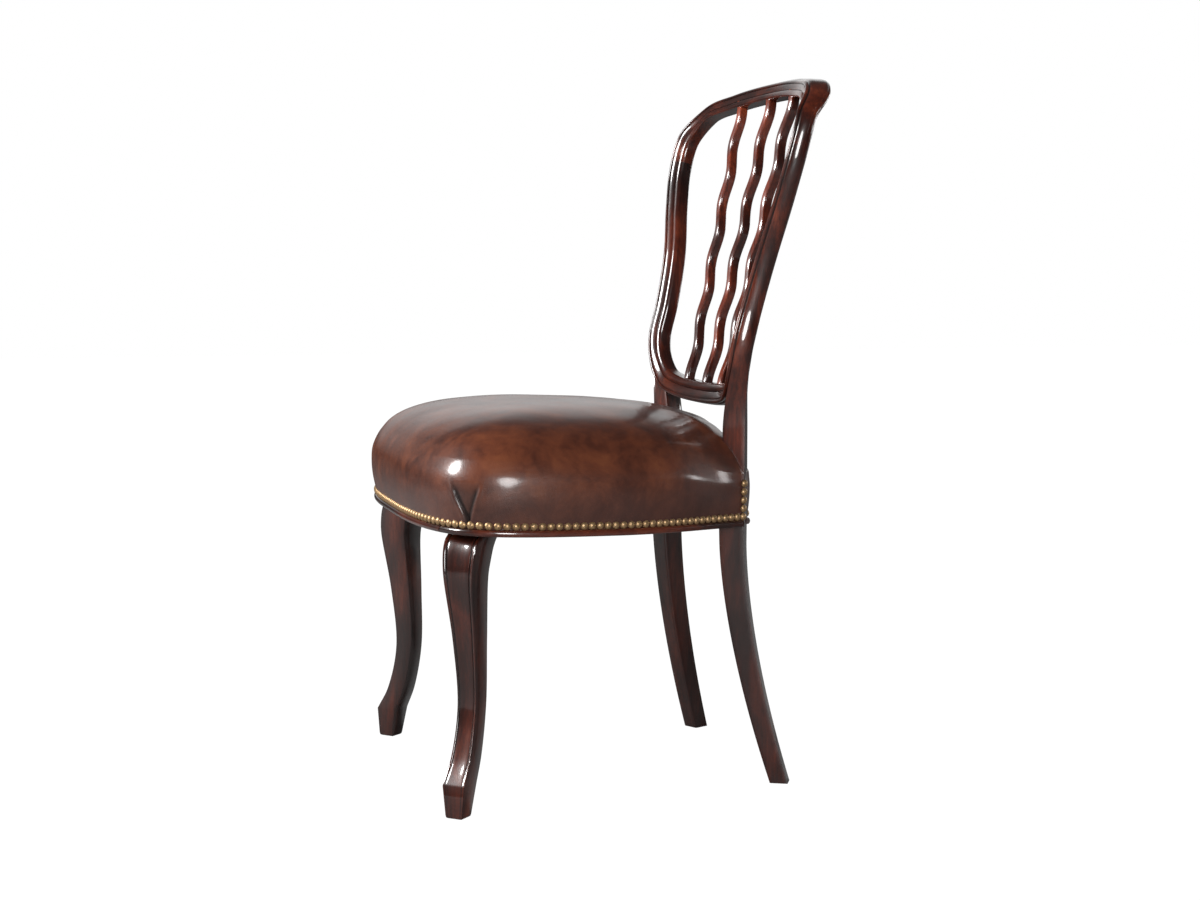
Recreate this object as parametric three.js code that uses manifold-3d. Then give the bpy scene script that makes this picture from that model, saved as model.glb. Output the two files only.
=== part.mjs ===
// A side chair with a shield-shaped back: a moulded hoop carried on sabre rear legs, three wavy
// splats, cabriole front legs, and a leather seat stuffed over a rail frame.
// Lengths are in millimetres. X runs across the chair, the sitter faces -Y and Z is up.
// Left is the sitter's left, at +X. The floor line through the front feet is y = 0 while the
// pieces are shaped, and the last group moves the whole chair to its own middle.

import * as THREE from 'three';
import { mergeVertices } from 'three/addons/utils/BufferGeometryUtils.js';
import Module from 'manifold-3d';

const wasm = await Module();
wasm.setup();

// Driving dimensions

const fitGap = 0.3;
const cutOverrunLength = 60;
const frontFeetToMiddle = 244;

// Back: outline of the hoop at its front face, and the surface that it lies on.
const hoopHalfWidth = 259;
const hoopBottomZ = 515;
const hoopTopZ = 965;
const stileDepth = 28;
const crestDepth = 46;
const stileWidth = 22;
const crestHeight = 24;
const lowerRailHeight = 28;
const backPlaneY = 402.5;
const backBendHeight = 586;
const backBendSoftLength = 20;
const backRadius = 1000;
const shoulderJointDepth = 97;
const crestSwellStartDepth = 64;
const crestSwellEndDepth = 22;
const lowerCornerHeight = 71;
const lowerRailJointX = 140;
const backTenonWidth = 18;
const backTenonThickness = 8;
const backTenonLength = 24;

// Rear legs
const postX = 152;
const postY = 407;
const postFootSize = 25;
const postSeatSize = 30;
const postSeatDepth = 36;
const postShoulderDepth = 31;
const postArrisWidth = 2;
const sabreHeight = 330;
const sabreSplayLength = 64;
const postStraightTopZ = 480;
const postTopZ = 604;
const postTopWidth = 13;
const postTopDepth = 19;

// Splats
const splatBottomSpacing = 74;
const splatTopSpacing = 107;
const splatWidth = 11;
const splatDepth = 14;
const splatWaveLength = 83.5;
const splatWaveWidth = 6.5;
const splatWaveCrestDepth = 85;
const splatTenonLength = 12;

// Front legs, measured from the ankle on the diagonal that points out of the seat's corner
const ankleX = 224;
const ankleY = 24;
const toeBottomSize = 24;
const toeSize = 32.5;
const shankSize = 29.5;
const ankleSize = 28;
const calfSize = 33.5;
const kneeSize = 43.5;
const legTopSize = 51;
const toeHeight = 42;
const shankHeight = 76;
const ankleHeight = 140;
const calfHeight = 225;
const kneeHeight = 308;
const toeBottomKickLength = 35;
const toeKickLength = 31.5;
const shankKickLength = 14.5;
const calfKickLength = 4;
const kneeKickLength = 13;
const legTopKickLength = -4;

// Seat frame, level with the nail line that drops to the rear
const nailLineHeight = 380;
const seatFrontY = -38;
const seatCornerX = 268;
const seatCornerY = 9;
const seatSideX = 270;
const seatSideY = 209;
const seatRearX = 177;
const seatRearY = 409;
const seatRearBowY = 437;
const railBelowNailsHeight = 14;
const railAboveNailsHeight = 44;
const railThickness = 26;
const frontRailThickness = 32;
const railTenonThickness = 9;
const railTenonHeight = 34;
const railTenonLength = 18;
const rearRailTenonLength = 27;
const legTopLapHeight = 15;
const sideRailSetbackLength = 8;
const legBlockX = 205;
const legBlockY = 58;

// Seat bead under the nails
const beadDropHeight = 5;
const beadProjectionDepth = 4.5;

// Upholstery
const leatherThickness = 3;
const seatBulgeWidth = 10;
const seatShoulderHeight = 84;
const postShoulderHeight = 58;
const seatCrownHeight = 148;
const seatCrownY = 225;
const coverHemHeight = 4.7;
const padSkirtHeight = 12;
const webThickness = 2;
const webWidth = 50;
const webCrossSpacing = 105;
const webLongSpacing = 70;
const hessianThickness = 1.2;
const hessianMarginWidth = 9;
const dustClothThickness = 1.2;
const dustClothMarginWidth = 13;

// Corner blocks
const blockHeight = 30;
const blockLiftHeight = 8;
const frontBlockLength = 90;
const rearBlockLength = 60;

// Angles in degrees
const seatTilt = 1.83;
const sabreTurn = 29;
const postTurn = 27;
const postTopTurn = 13;
const legTurn = 47;
const backRake = 14.65;

// Counts of flat steps
const hoopSteps = 76;
const postSteps = 15;
const legSteps = 13;
const splatSteps = 40;
const seatSideSteps = 6;
const seatCornerSteps = 10;
const seatFrontSteps = 5;
const seatRearSteps = 7;
const halvings = 40;

// Shares of a size, chosen by eye from the shape of the real pieces

// The hoop's right half as shares of its half width and of its height above the lower rail.
const hoopOutlineShares = [
  [0, 1], [0.5, 0.983], [0.82, 0.951], [0.978, 0.865], [0.99, 0.756], [0.923, 0.622],
  [0.807, 0.46], [0.748, 0.3], [0.738, 0.19], [0.686, 0.094], [0.575, 0.02], [0.41, 0],
];
// The hoop's section: across from its outer edge, and back from its front face.
const hoopSectionShares = [
  [0, 0.1], [0.03, 0.025], [0.12, 0], [0.21, 0.03], [0.25, 0.085], [0.31, 0.035], [0.46, 0.06],
  [0.66, 0.045], [0.8, 0.015], [0.93, 0.035], [1, 0.12], [1, 0.7], [0.9, 0.9], [0.74, 1],
  [0.24, 1], [0.05, 0.78], [0.03, 0.73], [-0.04, 0.55], [-0.05, 0.35], [0.02, 0.15],
];
// The front leg's section: across, outwards, and how far the carved front lies back.
const legSectionShares = [
  [-0.5, 0.43, 0], [-0.46, 0.5, 0], [-0.4, 0.5, 0], [-0.35, 0.5, 0.075], [-0.29, 0.5, 0.02],
  [0, 0.5, 0.045], [0.29, 0.5, 0.02], [0.35, 0.5, 0.075], [0.4, 0.5, 0], [0.46, 0.5, 0],
  [0.5, 0.43, 0], [0.5, -0.45, 0], [0.45, -0.5, 0], [-0.45, -0.5, 0], [-0.5, -0.45, 0],
];
// A splat's section: a flat back and two facets that meet in a ridge at the front.
const splatSectionShares = [
  [-0.5, -0.5], [0.5, -0.5], [0.5, 0.15], [0, 0.5], [-0.5, 0.15],
];
// The seat bead's section: out from the rail's face, and down from its top.
const beadSectionShares = [
  [0, 0], [0.55, 0.03], [0.9, 0.2], [1, 0.5], [0.85, 0.8], [0.5, 1], [0, 1],
];
// The leather's outline: out from the nail line as shares of the bulge, up as shares of the
// shoulder's height, from the hem to the shoulder.
const seatSideShares = [
  [0, 0], [0.45, 0.16], [0.85, 0.36], [1, 0.56], [0.9, 0.74], [0.4, 0.9],
];
// Above the shoulder: drawn in as shares of the way to the middle, up as shares of the crown.
const seatCrownShares = [
  [0.025, 0.13], [0.06, 0.3], [0.115, 0.47], [0.19, 0.62], [0.31, 0.77], [0.5, 0.9], [0.72, 0.975],
];
// How far the crest's rear edge rises as it goes back, so that its top is level or a little high.
const crestRiseShare = 0.27;
const toeCarveShare = 0.2;
const sabrePowerShare = 1.65;
const drawnInShare = 0.2;
const leftHalfShare = 0.5;
const sideReleaseShare = 0.1;
const rearReleaseShare = 0.5;
const tenonPlaceShare = 0.5;
const tenonSeatShare = 0.75;
const sideTenonShare = 0.72;
const sideRailEndShare = 0.955;
const longStrapShares = [-1.5, -0.5, 0.5, 1.5];
const crossStrapShares = [-1, 0, 1];
// Shares of the way round the seat: the rear rail, and the front corners on each side.
const rearShare = 0.17;
const cornerShare = 0.278;
const cornerHalfShare = 0.075;
const mitreShare = 0.0002;

// Finishes

function finish(colour, roughness, metalness = 0) {
  return new THREE.MeshStandardMaterial({ color: colour, roughness, metalness });
}
const mahogany = () => finish(0x43190f, 0.28);
const frameWood = () => finish(0xa98558, 0.7);
const leather = () => finish(0x4a1d10, 0.35);
const stuffing = () => finish(0xd8cdb8, 0.95);
const jute = () => finish(0xb08d57, 0.9);
const hessian = () => finish(0x9c7b4a, 0.95);
const blackCloth = () => finish(0x1b1a1a, 0.95);

// Shaping functions

const radians = THREE.MathUtils.degToRad;
const lerp = THREE.MathUtils.lerp;

// Lists the corner points of a closed skin in reverse where the skin is inside out.
function facingOut(positions, index) {
  const at = (k) => new THREE.Vector3().fromArray(positions, k * 3);
  let volume = 0;
  for (let k = 0; k < index.length; k += 3) {
    volume += at(index[k]).dot(at(index[k + 1]).cross(at(index[k + 2])));
  }
  return volume < 0 ? index.slice().reverse() : index;
}

// A skin over rings of points, flat at both ends, or closed on itself when it is a loop.
function loft(rings, flat, isLoop = false) {
  const count = rings[0].length;
  const positions = rings.flat().flatMap((point) => point.toArray());
  const index = [];
  const spans = isLoop ? rings.length : rings.length - 1;
  for (let span = 0; span < spans; span++) {
    const near = span * count;
    const far = ((span + 1) % rings.length) * count;
    for (let k = 0; k < count; k++) {
      const next = (k + 1) % count;
      index.push(near + k, near + next, far + next, near + k, far + next, far + k);
    }
  }
  if (!isLoop) {
    const last = (rings.length - 1) * count;
    const swapped = THREE.ShapeUtils.isClockWise(flat);
    for (const [a, p, q] of THREE.ShapeUtils.triangulateShape(flat, [])) {
      const [b, c] = swapped ? [q, p] : [p, q];
      index.push(a, c, b, last + a, last + b, last + c);
    }
  }
  const geometry = new THREE.BufferGeometry();
  geometry.setAttribute('position', new THREE.Float32BufferAttribute(positions, 3));
  geometry.setIndex(facingOut(positions, index));
  return geometry;
}

// A geometry as a solid that can be cut and joined.
function solid(geometry) {
  const bare = geometry.clone();
  bare.deleteAttribute('normal');
  bare.deleteAttribute('uv');
  const merged = mergeVertices(bare);
  return new wasm.Manifold(new wasm.Mesh({
    numProp: 3,
    vertProperties: new Float32Array(merged.attributes.position.array),
    triVerts: new Uint32Array(merged.index.array),
  }));
}

function geometryOf(body) {
  const skin = body.getMesh();
  const geometry = new THREE.BufferGeometry();
  geometry.setAttribute('position', new THREE.Float32BufferAttribute(skin.vertProperties, 3));
  geometry.setIndex(Array.from(skin.triVerts));
  geometry.computeVertexNormals();
  return geometry;
}

// A box between two corners, as a solid.
function boxBetween(low, high) {
  const size = new THREE.Vector3(...high).sub(new THREE.Vector3(...low));
  const middle = new THREE.Vector3(...high).add(new THREE.Vector3(...low)).divideScalar(2);
  const box = new THREE.BoxGeometry(size.x, size.y, size.z);
  return solid(box.translate(middle.x, middle.y, middle.z));
}

// A bar of a given section that runs from a point along a direction.
function barFrom(start, along, side, width, thickness, length) {
  const x = side.clone().normalize();
  const z = along.clone().normalize();
  const y = z.clone().cross(x);
  const frame = new THREE.Matrix4().makeBasis(x, y, z);
  const bar = new THREE.BoxGeometry(width, thickness, length).applyMatrix4(frame);
  const middle = start.clone().addScaledVector(z, length / 2);
  return solid(bar.translate(middle.x, middle.y, middle.z));
}

const group = new THREE.Group();
const wide = 2 * hoopHalfWidth + cutOverrunLength;

function piece(name, body, material, carrier = group) {
  const geometry = body instanceof THREE.BufferGeometry ? body : geometryOf(body);
  const mesh = new THREE.Mesh(geometry, material);
  mesh.name = name;
  carrier.add(mesh);
  return mesh;
}

const sides = [['left', 1], ['right', -1]];

function mirrored(body, side) {
  return side > 0 ? body : body.mirror([1, 0, 0]);
}

// Back surface: upright below the bend, raked above it, and bowed back across its middle.

const rakeSlope = Math.tan(radians(backRake));

function backY(x, z) {
  const above = z - backBendHeight;
  const risen = (Math.hypot(above, backBendSoftLength) + above) / 2;
  return backPlaneY + rakeSlope * risen - x * x / (2 * backRadius);
}

function backNormal(x, z) {
  const above = z - backBendHeight;
  const slope = rakeSlope * (above / Math.hypot(above, backBendSoftLength) + 1) / 2;
  return new THREE.Vector3(-x / backRadius, -1, slope).normalize();
}

// Hoop: one moulding swept round the outline and then parted at its joints.

const hoopHeight = hoopTopZ - hoopBottomZ;
const hoopMiddle = hoopBottomZ + hoopHeight / 2;
const shoulderJointHeight = hoopTopZ - shoulderJointDepth;
const lowerCornerTop = hoopBottomZ + lowerCornerHeight;

function hoopPoint([across, up], side) {
  const x = side * across * hoopHalfWidth;
  const z = hoopBottomZ + up * hoopHeight;
  return new THREE.Vector3(x, backY(x, z), z);
}

const leftHalf = hoopOutlineShares.map((share) => hoopPoint(share, 1));
const rightHalf = hoopOutlineShares.slice(1).map((share) => hoopPoint(share, -1)).reverse();
const hoopPath = new THREE.CatmullRomCurve3([...leftHalf, ...rightHalf], true, 'centripetal');

// The frame of the moulding at one place on the path.
function hoopFrame(at) {
  const point = hoopPath.getPointAt(at);
  const along = hoopPath.getTangentAt(at);
  const front = backNormal(point.x, point.z);
  const inward = front.clone().cross(along).normalize();
  if (inward.x * point.x + inward.z * (point.z - hoopMiddle) > 0) inward.negate();
  front.copy(along).cross(inward);
  if (front.y > 0) front.negate();
  return { point, along, inward, front };
}

function hoopWidthAt(z) {
  const share = THREE.MathUtils.smoothstep(z, hoopBottomZ, lowerCornerTop);
  const crown = THREE.MathUtils.smoothstep(z, shoulderJointHeight, hoopTopZ);
  return lerp(lerp(lowerRailHeight, stileWidth, share), crestHeight, crown);
}

// The crest swells to the rear at its outer edge and keeps the stiles' depth at its inner one.
function hoopDepthAt(z, across) {
  const swell = THREE.MathUtils.smoothstep(
    z,
    hoopTopZ - crestSwellStartDepth,
    hoopTopZ - crestSwellEndDepth,
  );
  return lerp(stileDepth, crestDepth, swell * (1 - across));
}

function hoopRing(at) {
  const { point, inward, front } = hoopFrame(at);
  const width = hoopWidthAt(point.z);
  const rise = Math.max(0, -inward.z) * crestRiseShare;
  return hoopSectionShares.map(([across, back]) => {
    const depth = back * hoopDepthAt(point.z, across);
    return point.clone()
      .addScaledVector(inward, across * width - depth * rise)
      .addScaledVector(front, -depth);
  });
}

const hoopRings = Array.from({ length: hoopSteps }, (_, k) => hoopRing(k / hoopSteps));
const hoopFlat = hoopSectionShares.map(([across, back]) => new THREE.Vector2(across, back));
const hoop = solid(loft(hoopRings, hoopFlat, true));

// The place on the left half of the path, from the top, where it has come down to a height.
function hoopPlaceAtHeight(z) {
  let low = 0;
  let high = leftHalfShare;
  for (let k = 0; k < halvings; k++) {
    const middle = (low + high) / 2;
    if (hoopPath.getPointAt(middle).z > z) low = middle;
    else high = middle;
  }
  return low;
}

// The middle of the moulding's section at one place.
function hoopCore(at) {
  const { point, along, inward, front } = hoopFrame(at);
  const width = hoopWidthAt(point.z);
  const middle = point.clone()
    .addScaledVector(inward, width * tenonPlaceShare)
    .addScaledVector(front, -stileDepth * tenonPlaceShare);
  return { middle, along, inward };
}

const shoulder = hoopCore(hoopPlaceAtHeight(shoulderJointHeight));
const tenonUp = shoulder.along.clone();
if (tenonUp.z < 0) tenonUp.negate();

// Everything above the shoulder joint, on a plane square to the raked stiles.
function aboveShoulder(gap) {
  const reach = hoopHalfWidth + cutOverrunLength;
  const tall = hoopTopZ - shoulderJointHeight + cutOverrunLength;
  const cut = new THREE.BoxGeometry(2 * reach, 2 * reach, tall);
  cut.translate(0, 0, tall / 2 + gap);
  cut.rotateX(-radians(backRake));
  return solid(cut.translate(0, shoulder.middle.y, shoulder.middle.z));
}

function shoulderTenon(gap) {
  const start = shoulder.middle.clone().addScaledVector(tenonUp, -backTenonLength);
  return barFrom(start, tenonUp, shoulder.inward, backTenonThickness + 2 * gap,
    backTenonWidth + 2 * gap, 2 * backTenonLength + gap);
}

// The stretch of the lower rail between its joints with the posts.
function betweenPosts(gap) {
  const x = lowerRailJointX + gap;
  const low = [-x, backPlaneY - cutOverrunLength, hoopBottomZ - cutOverrunLength];
  return boxBetween(low, [x, backPlaneY + stileDepth + cutOverrunLength, lowerCornerTop]);
}

const lowerRailPlace = hoopBottomZ + lowerRailHeight / 2;

function lowerRailTenon(gap) {
  const y = backY(lowerRailJointX, lowerRailPlace) + stileDepth / 2;
  const start = new THREE.Vector3(lowerRailJointX - backTenonLength, y, lowerRailPlace);
  const along = new THREE.Vector3(1, 0, 0);
  const up = new THREE.Vector3(0, 0, 1);
  return barFrom(start, along, up, backTenonWidth + 2 * gap, backTenonThickness + 2 * gap,
    2 * backTenonLength + gap);
}

// Rear posts: the sabre leg, the length past the seat, and the stile of the hoop in one.

const sabreAway = new THREE.Vector2(Math.sin(radians(sabreTurn)), Math.cos(radians(sabreTurn)));
const stileCore = hoopCore(hoopPlaceAtHeight(postTopZ)).middle;

function postRing(z, grow) {
  const below = Math.max(0, 1 - z / sabreHeight) ** sabrePowerShare * sabreSplayLength;
  const lift = THREE.MathUtils.smoothstep(z, postStraightTopZ, postTopZ);
  const x = lerp(postX + below * sabreAway.x, stileCore.x, lift);
  const y = lerp(postY + below * sabreAway.y, stileCore.y, lift);
  const rise = Math.min(1, z / nailLineHeight);
  const narrowing = THREE.MathUtils.smoothstep(z, nailLineHeight, postStraightTopZ);
  const seatDepth = lerp(lerp(postFootSize, postSeatDepth, rise), postShoulderDepth, narrowing);
  const hide = THREE.MathUtils.smoothstep(z, postStraightTopZ, postTopZ);
  const width = lerp(lerp(postFootSize, postSeatSize, rise), postTopWidth, hide) + 2 * grow;
  const depth = lerp(seatDepth, postTopDepth, hide);
  const back = lerp(lerp(postFootSize, postSeatSize, rise), postTopDepth, hide) / 2 + grow;
  const front = back - 2 * grow - depth;
  const turn = radians(lerp(postTurn, postTopTurn, lift));
  const arris = postArrisWidth;
  const corners = [
    [-width / 2 + arris, front], [width / 2 - arris, front],
    [width / 2, front + arris], [width / 2, back - arris],
    [width / 2 - arris, back], [-width / 2 + arris, back],
    [-width / 2, back - arris], [-width / 2, front + arris],
  ];
  const around = new THREE.Vector3(0, 0, -1);
  return corners.map(([a, b]) => new THREE.Vector3(a, b, 0)
    .applyAxisAngle(around, turn)
    .add(new THREE.Vector3(x, y, z)));
}

function postBody(grow) {
  const rings = Array.from({ length: postSteps + 1 }, (_, k) => (
    postRing(postTopZ * k / postSteps, grow)
  ));
  const flat = rings[0].map((point) => new THREE.Vector2(point.x, point.y));
  return solid(loft(rings, flat));
}

const post = postBody(0);
const stile = hoop
  .subtract(aboveShoulder(0))
  .subtract(betweenPosts(fitGap))
  .intersect(boxBetween(
    [0, 0, hoopBottomZ - cutOverrunLength],
    [wide, wide + postY, hoopTopZ],
  ));
const postWithTenon = post
  .subtract(betweenPosts(fitGap).intersect(hoop))
  .add(stile)
  .add(shoulderTenon(0))
  .subtract(lowerRailTenon(fitGap));

// A post's room through the seat, with a running gap all round.
const postRoom = postBody(fitGap);

// Crest rail and lower rail

const bothShoulders = shoulderTenon(fitGap).add(mirrored(shoulderTenon(fitGap), -1));
const bothRailTenons = lowerRailTenon(0).add(mirrored(lowerRailTenon(0), -1));
const crest = hoop.intersect(aboveShoulder(fitGap)).subtract(bothShoulders);
const lowerRail = hoop.intersect(betweenPosts(0)).add(bothRailTenons);

// Splats: straight seen from the side, waved across, and tenoned at both ends.

const splatBottomHeight = hoopBottomZ + lowerRailHeight - splatTenonLength;
const splatTopHeight = hoopTopZ - crestHeight + splatTenonLength;

function splatCentre(place, z) {
  const share = (z - splatBottomHeight) / (splatTopHeight - splatBottomHeight);
  const spread = lerp(splatBottomSpacing, splatTopSpacing, share);
  const wave = Math.cos(2 * Math.PI * (z - hoopTopZ + splatWaveCrestDepth) / splatWaveLength);
  const low = backY(place * splatBottomSpacing, splatBottomHeight);
  const high = backY(place * splatTopSpacing, splatTopHeight);
  const y = lerp(low, high, share) + stileDepth / 2;
  return new THREE.Vector3(place * spread - wave * splatWaveWidth, y, z);
}

function splatBody(place, grow) {
  const rings = [];
  const front = backNormal(0, hoopTopZ);
  for (let k = 0; k <= splatSteps; k++) {
    const z = lerp(splatBottomHeight, splatTopHeight + grow, k / splatSteps);
    const centre = splatCentre(place, z);
    const width = splatWidth + 2 * grow;
    const depth = splatDepth + 2 * grow;
    rings.push(splatSectionShares.map(([a, b]) => new THREE.Vector3(a * width, 0, 0)
      .addScaledVector(front, b * depth)
      .add(centre)));
  }
  const flat = splatSectionShares.map(([a, b]) => new THREE.Vector2(a, b));
  return solid(loft(rings, flat));
}

const splatPlaces = [['splat_left', 1], ['splat_centre', 0], ['splat_right', -1]];
let crestCut = crest;
let lowerRailCut = lowerRail;
for (const [name, place] of splatPlaces) {
  const slot = splatBody(place, fitGap);
  crestCut = crestCut.subtract(slot);
  lowerRailCut = lowerRailCut.subtract(slot.translate([0, 0, -fitGap]));
  piece(name, splatBody(place, 0), mahogany());
}
piece('crest_rail', crestCut, mahogany());
piece('lower_back_rail', lowerRailCut, mahogany());

// Seat plan: the nail line round the front and sides, and the bowed rear rail.

const seatLine = new THREE.CatmullRomCurve3([
  new THREE.Vector3(-seatRearX, seatRearY, 0),
  new THREE.Vector3(-seatSideX, seatSideY, 0),
  new THREE.Vector3(-seatCornerX, seatCornerY, 0),
  new THREE.Vector3(0, seatFrontY, 0),
  new THREE.Vector3(seatCornerX, seatCornerY, 0),
  new THREE.Vector3(seatSideX, seatSideY, 0),
  new THREE.Vector3(seatRearX, seatRearY, 0),
], false, 'centripetal');

const upward = new THREE.Vector3(0, 0, 1);
const postCosine = Math.cos(radians(postTurn));
const postSine = Math.sin(radians(postTurn));
const rearInnerX = postX - postSeatSize * (postCosine - postSine) / 2;
const rearInnerY = postY + postSeatSize * (postCosine + postSine) / 2;
const rearLine = new THREE.QuadraticBezierCurve3(
  new THREE.Vector3(rearInnerX, rearInnerY, 0),
  new THREE.Vector3(0, 2 * seatRearBowY - rearInnerY, 0),
  new THREE.Vector3(-rearInnerX, rearInnerY, 0),
);

// One place round the whole seat, its outward direction, and how freely it bulges.
function seatPlace(at) {
  const onRear = at > 1 - rearShare;
  const curve = onRear ? rearLine : seatLine;
  const share = onRear ? (at - 1 + rearShare) / rearShare : at / (1 - rearShare);
  const point = curve.getPointAt(Math.min(1, share));
  const tangent = curve.getTangentAt(Math.min(1, share));
  const outward = tangent.cross(upward).normalize();
  const fromPost = Math.min(share, 1 - share);
  return { point, outward, fromPost, onRear };
}

// Places round the seat, closer together where its front corners turn.
function seatPlaces() {
  const end = 1 - rearShare;
  const near = cornerShare - cornerHalfShare;
  const far = cornerShare + cornerHalfShare;
  const spread = (from, to, steps) => (
    Array.from({ length: steps }, (_, k) => lerp(from, to, k / steps))
  );
  return [
    ...spread(0, near, seatSideSteps),
    ...spread(near, far, seatCornerSteps),
    ...spread(far, end - far, seatFrontSteps),
    ...spread(end - far, end - near, seatCornerSteps),
    ...spread(end - near, end, seatSideSteps),
    end,
    ...spread(end + mitreShare, 1, seatRearSteps),
    1,
  ];
}

// How free the stuffing is at one place: 0 beside a post, where it is held down, and 1 away from it.
function seatFreedom(at) {
  const { fromPost, onRear } = seatPlace(at);
  return THREE.MathUtils.smoothstep(fromPost, 0, onRear ? rearReleaseShare : sideReleaseShare);
}

// One point beside the seat, moved out from the nail line and towards the middle.
function seatPoint(at, out, drawIn = 0) {
  const { point, outward } = seatPlace(at);
  const bulge = out > 0 ? out * lerp(drawnInShare, 1, seatFreedom(at)) : out;
  const middle = new THREE.Vector3(0, seatCrownY, 0);
  return point.clone().addScaledVector(outward, bulge).lerp(middle, drawIn);
}

function seatOutline(out, drawIn = 0) {
  return seatPlaces().map((at) => seatPoint(at, out, drawIn));
}

// A flat-sided body of the seat's outline between two levels.
function seatPrism(inset, low, high) {
  const points = seatOutline(-inset);
  const shape = new THREE.Shape(points.map((point) => new THREE.Vector2(point.x, point.y)));
  const prism = new THREE.ExtrudeGeometry(shape, { depth: high - low, bevelEnabled: false });
  return solid(prism.translate(0, 0, low));
}

// The seat's own frame drops to the rear, so its pieces are turned and lifted together.
const seatTurn = new THREE.Matrix4().makeRotationX(-radians(seatTilt));
const seatFrame = new THREE.Matrix4().makeTranslation(0, 0, nailLineHeight).multiply(seatTurn);
const toChair = seatFrame.toArray();
const toSeat = seatFrame.clone().invert().toArray();

function inSeat(body) {
  return body.transform(toSeat);
}

function inChair(body) {
  return body.transform(toChair);
}

const seatGroup = new THREE.Group();
seatGroup.applyMatrix4(seatFrame);
group.add(seatGroup);

const postRoomInSeat = inSeat(postRoom);
const bothPostRooms = postRoomInSeat.add(mirrored(postRoomInSeat, -1));

// Rails

const railInset = leatherThickness + 2 * fitGap;
const frameSolid = seatPrism(railInset, -railBelowNailsHeight, railAboveNailsHeight);
const frameInside = seatPrism(railInset + railThickness, -railBelowNailsHeight, railAboveNailsHeight);
const railMiddle = (railAboveNailsHeight - railBelowNailsHeight) / 2;
const frontRailInner = seatFrontY + railInset + frontRailThickness;
const rearRailInner = seatRearBowY - railInset - railThickness;

function legBlockZone(gap) {
  return boxBetween(
    [legBlockX - gap, -wide, -railBelowNailsHeight - cutOverrunLength],
    [wide, legBlockY + gap, railAboveNailsHeight + cutOverrunLength],
  );
}

const frontTenonY = frontRailInner - railTenonThickness * tenonSeatShare;
function frontRailTenon(gap) {
  const start = new THREE.Vector3(legBlockX - railTenonLength, frontTenonY, railMiddle);
  return barFrom(start, new THREE.Vector3(1, 0, 0), upward, railTenonHeight + 2 * gap,
    railTenonThickness + 2 * gap, 2 * railTenonLength + gap);
}

const sideRailMiddleX = seatSideX + seatBulgeWidth;
function sideRailTenon(gap) {
  const x = sideRailMiddleX - railThickness / 2;
  const start = new THREE.Vector3(x, legBlockY + railTenonLength, railMiddle);
  return barFrom(start, new THREE.Vector3(0, -1, 0), upward, railTenonHeight + 2 * gap,
    railTenonThickness + 2 * gap, 2 * railTenonLength + gap);
}

const sideRailEnd = seatPlace((1 - rearShare) * sideRailEndShare);
function sideRearTenon(gap) {
  const along = upward.clone().cross(sideRailEnd.outward).normalize();
  const start = sideRailEnd.point.clone()
    .addScaledVector(sideRailEnd.outward, -railInset - railThickness * sideTenonShare)
    .addScaledVector(along, -railTenonLength);
  start.z = railMiddle;
  return barFrom(start, along, upward, railTenonHeight + 2 * gap,
    railTenonThickness + 2 * gap, 2 * railTenonLength + gap);
}

function rearRailTenon(gap) {
  const y = rearRailInner + railTenonThickness * tenonSeatShare;
  const start = new THREE.Vector3(rearInnerX - 2 * railTenonLength, y, railMiddle);
  return barFrom(start, new THREE.Vector3(1, 0, 0), upward, railTenonHeight + 2 * gap,
    railTenonThickness + 2 * gap, railTenonLength + rearRailTenonLength + gap);
}

const frontRail = frameSolid
  .intersect(boxBetween(
    [-legBlockX + fitGap, -wide, -wide],
    [legBlockX - fitGap, frontRailInner, wide],
  ))
  .add(frontRailTenon(0))
  .add(mirrored(frontRailTenon(0), -1));
const sideRail = frameSolid
  .subtract(frameInside)
  .intersect(boxBetween(
    [rearInnerX, legBlockY + fitGap, -wide],
    [wide, seatRearY - sideRailSetbackLength, wide],
  ))
  .subtract(postRoomInSeat)
  .add(sideRailTenon(0))
  .add(sideRearTenon(0));
const rearRail = frameSolid
  .intersect(boxBetween([-rearInnerX, rearRailInner, -wide], [rearInnerX, wide, wide]))
  .subtract(bothPostRooms)
  .add(rearRailTenon(0))
  .add(mirrored(rearRailTenon(0), -1));

// Front legs: a carved cabriole below the rails and a square block inside their corner.

const legOut = new THREE.Vector3(Math.sin(radians(legTurn)), -Math.cos(radians(legTurn)), 0);
const legAcross = new THREE.Vector3(Math.cos(radians(legTurn)), Math.sin(radians(legTurn)), 0);
const legTopHeight = nailLineHeight - railBelowNailsHeight + legTopLapHeight;

// Kick, size and height of the leg from its toe up.
const legStations = new THREE.CatmullRomCurve3([
  new THREE.Vector3(toeKickLength, toeSize, toeHeight),
  new THREE.Vector3(shankKickLength, shankSize, shankHeight),
  new THREE.Vector3(0, ankleSize, ankleHeight),
  new THREE.Vector3(calfKickLength, calfSize, calfHeight),
  new THREE.Vector3(kneeKickLength, kneeSize, kneeHeight),
  new THREE.Vector3(legTopKickLength, legTopSize, legTopHeight),
], false, 'centripetal');

function legRing(kick, size, height, carved) {
  const centre = new THREE.Vector3(ankleX, ankleY, height).addScaledVector(legOut, kick);
  return legSectionShares.map(([across, out, back]) => centre.clone()
    .addScaledVector(legAcross, across * size)
    .addScaledVector(legOut, (out - back * carved) * size));
}

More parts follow.
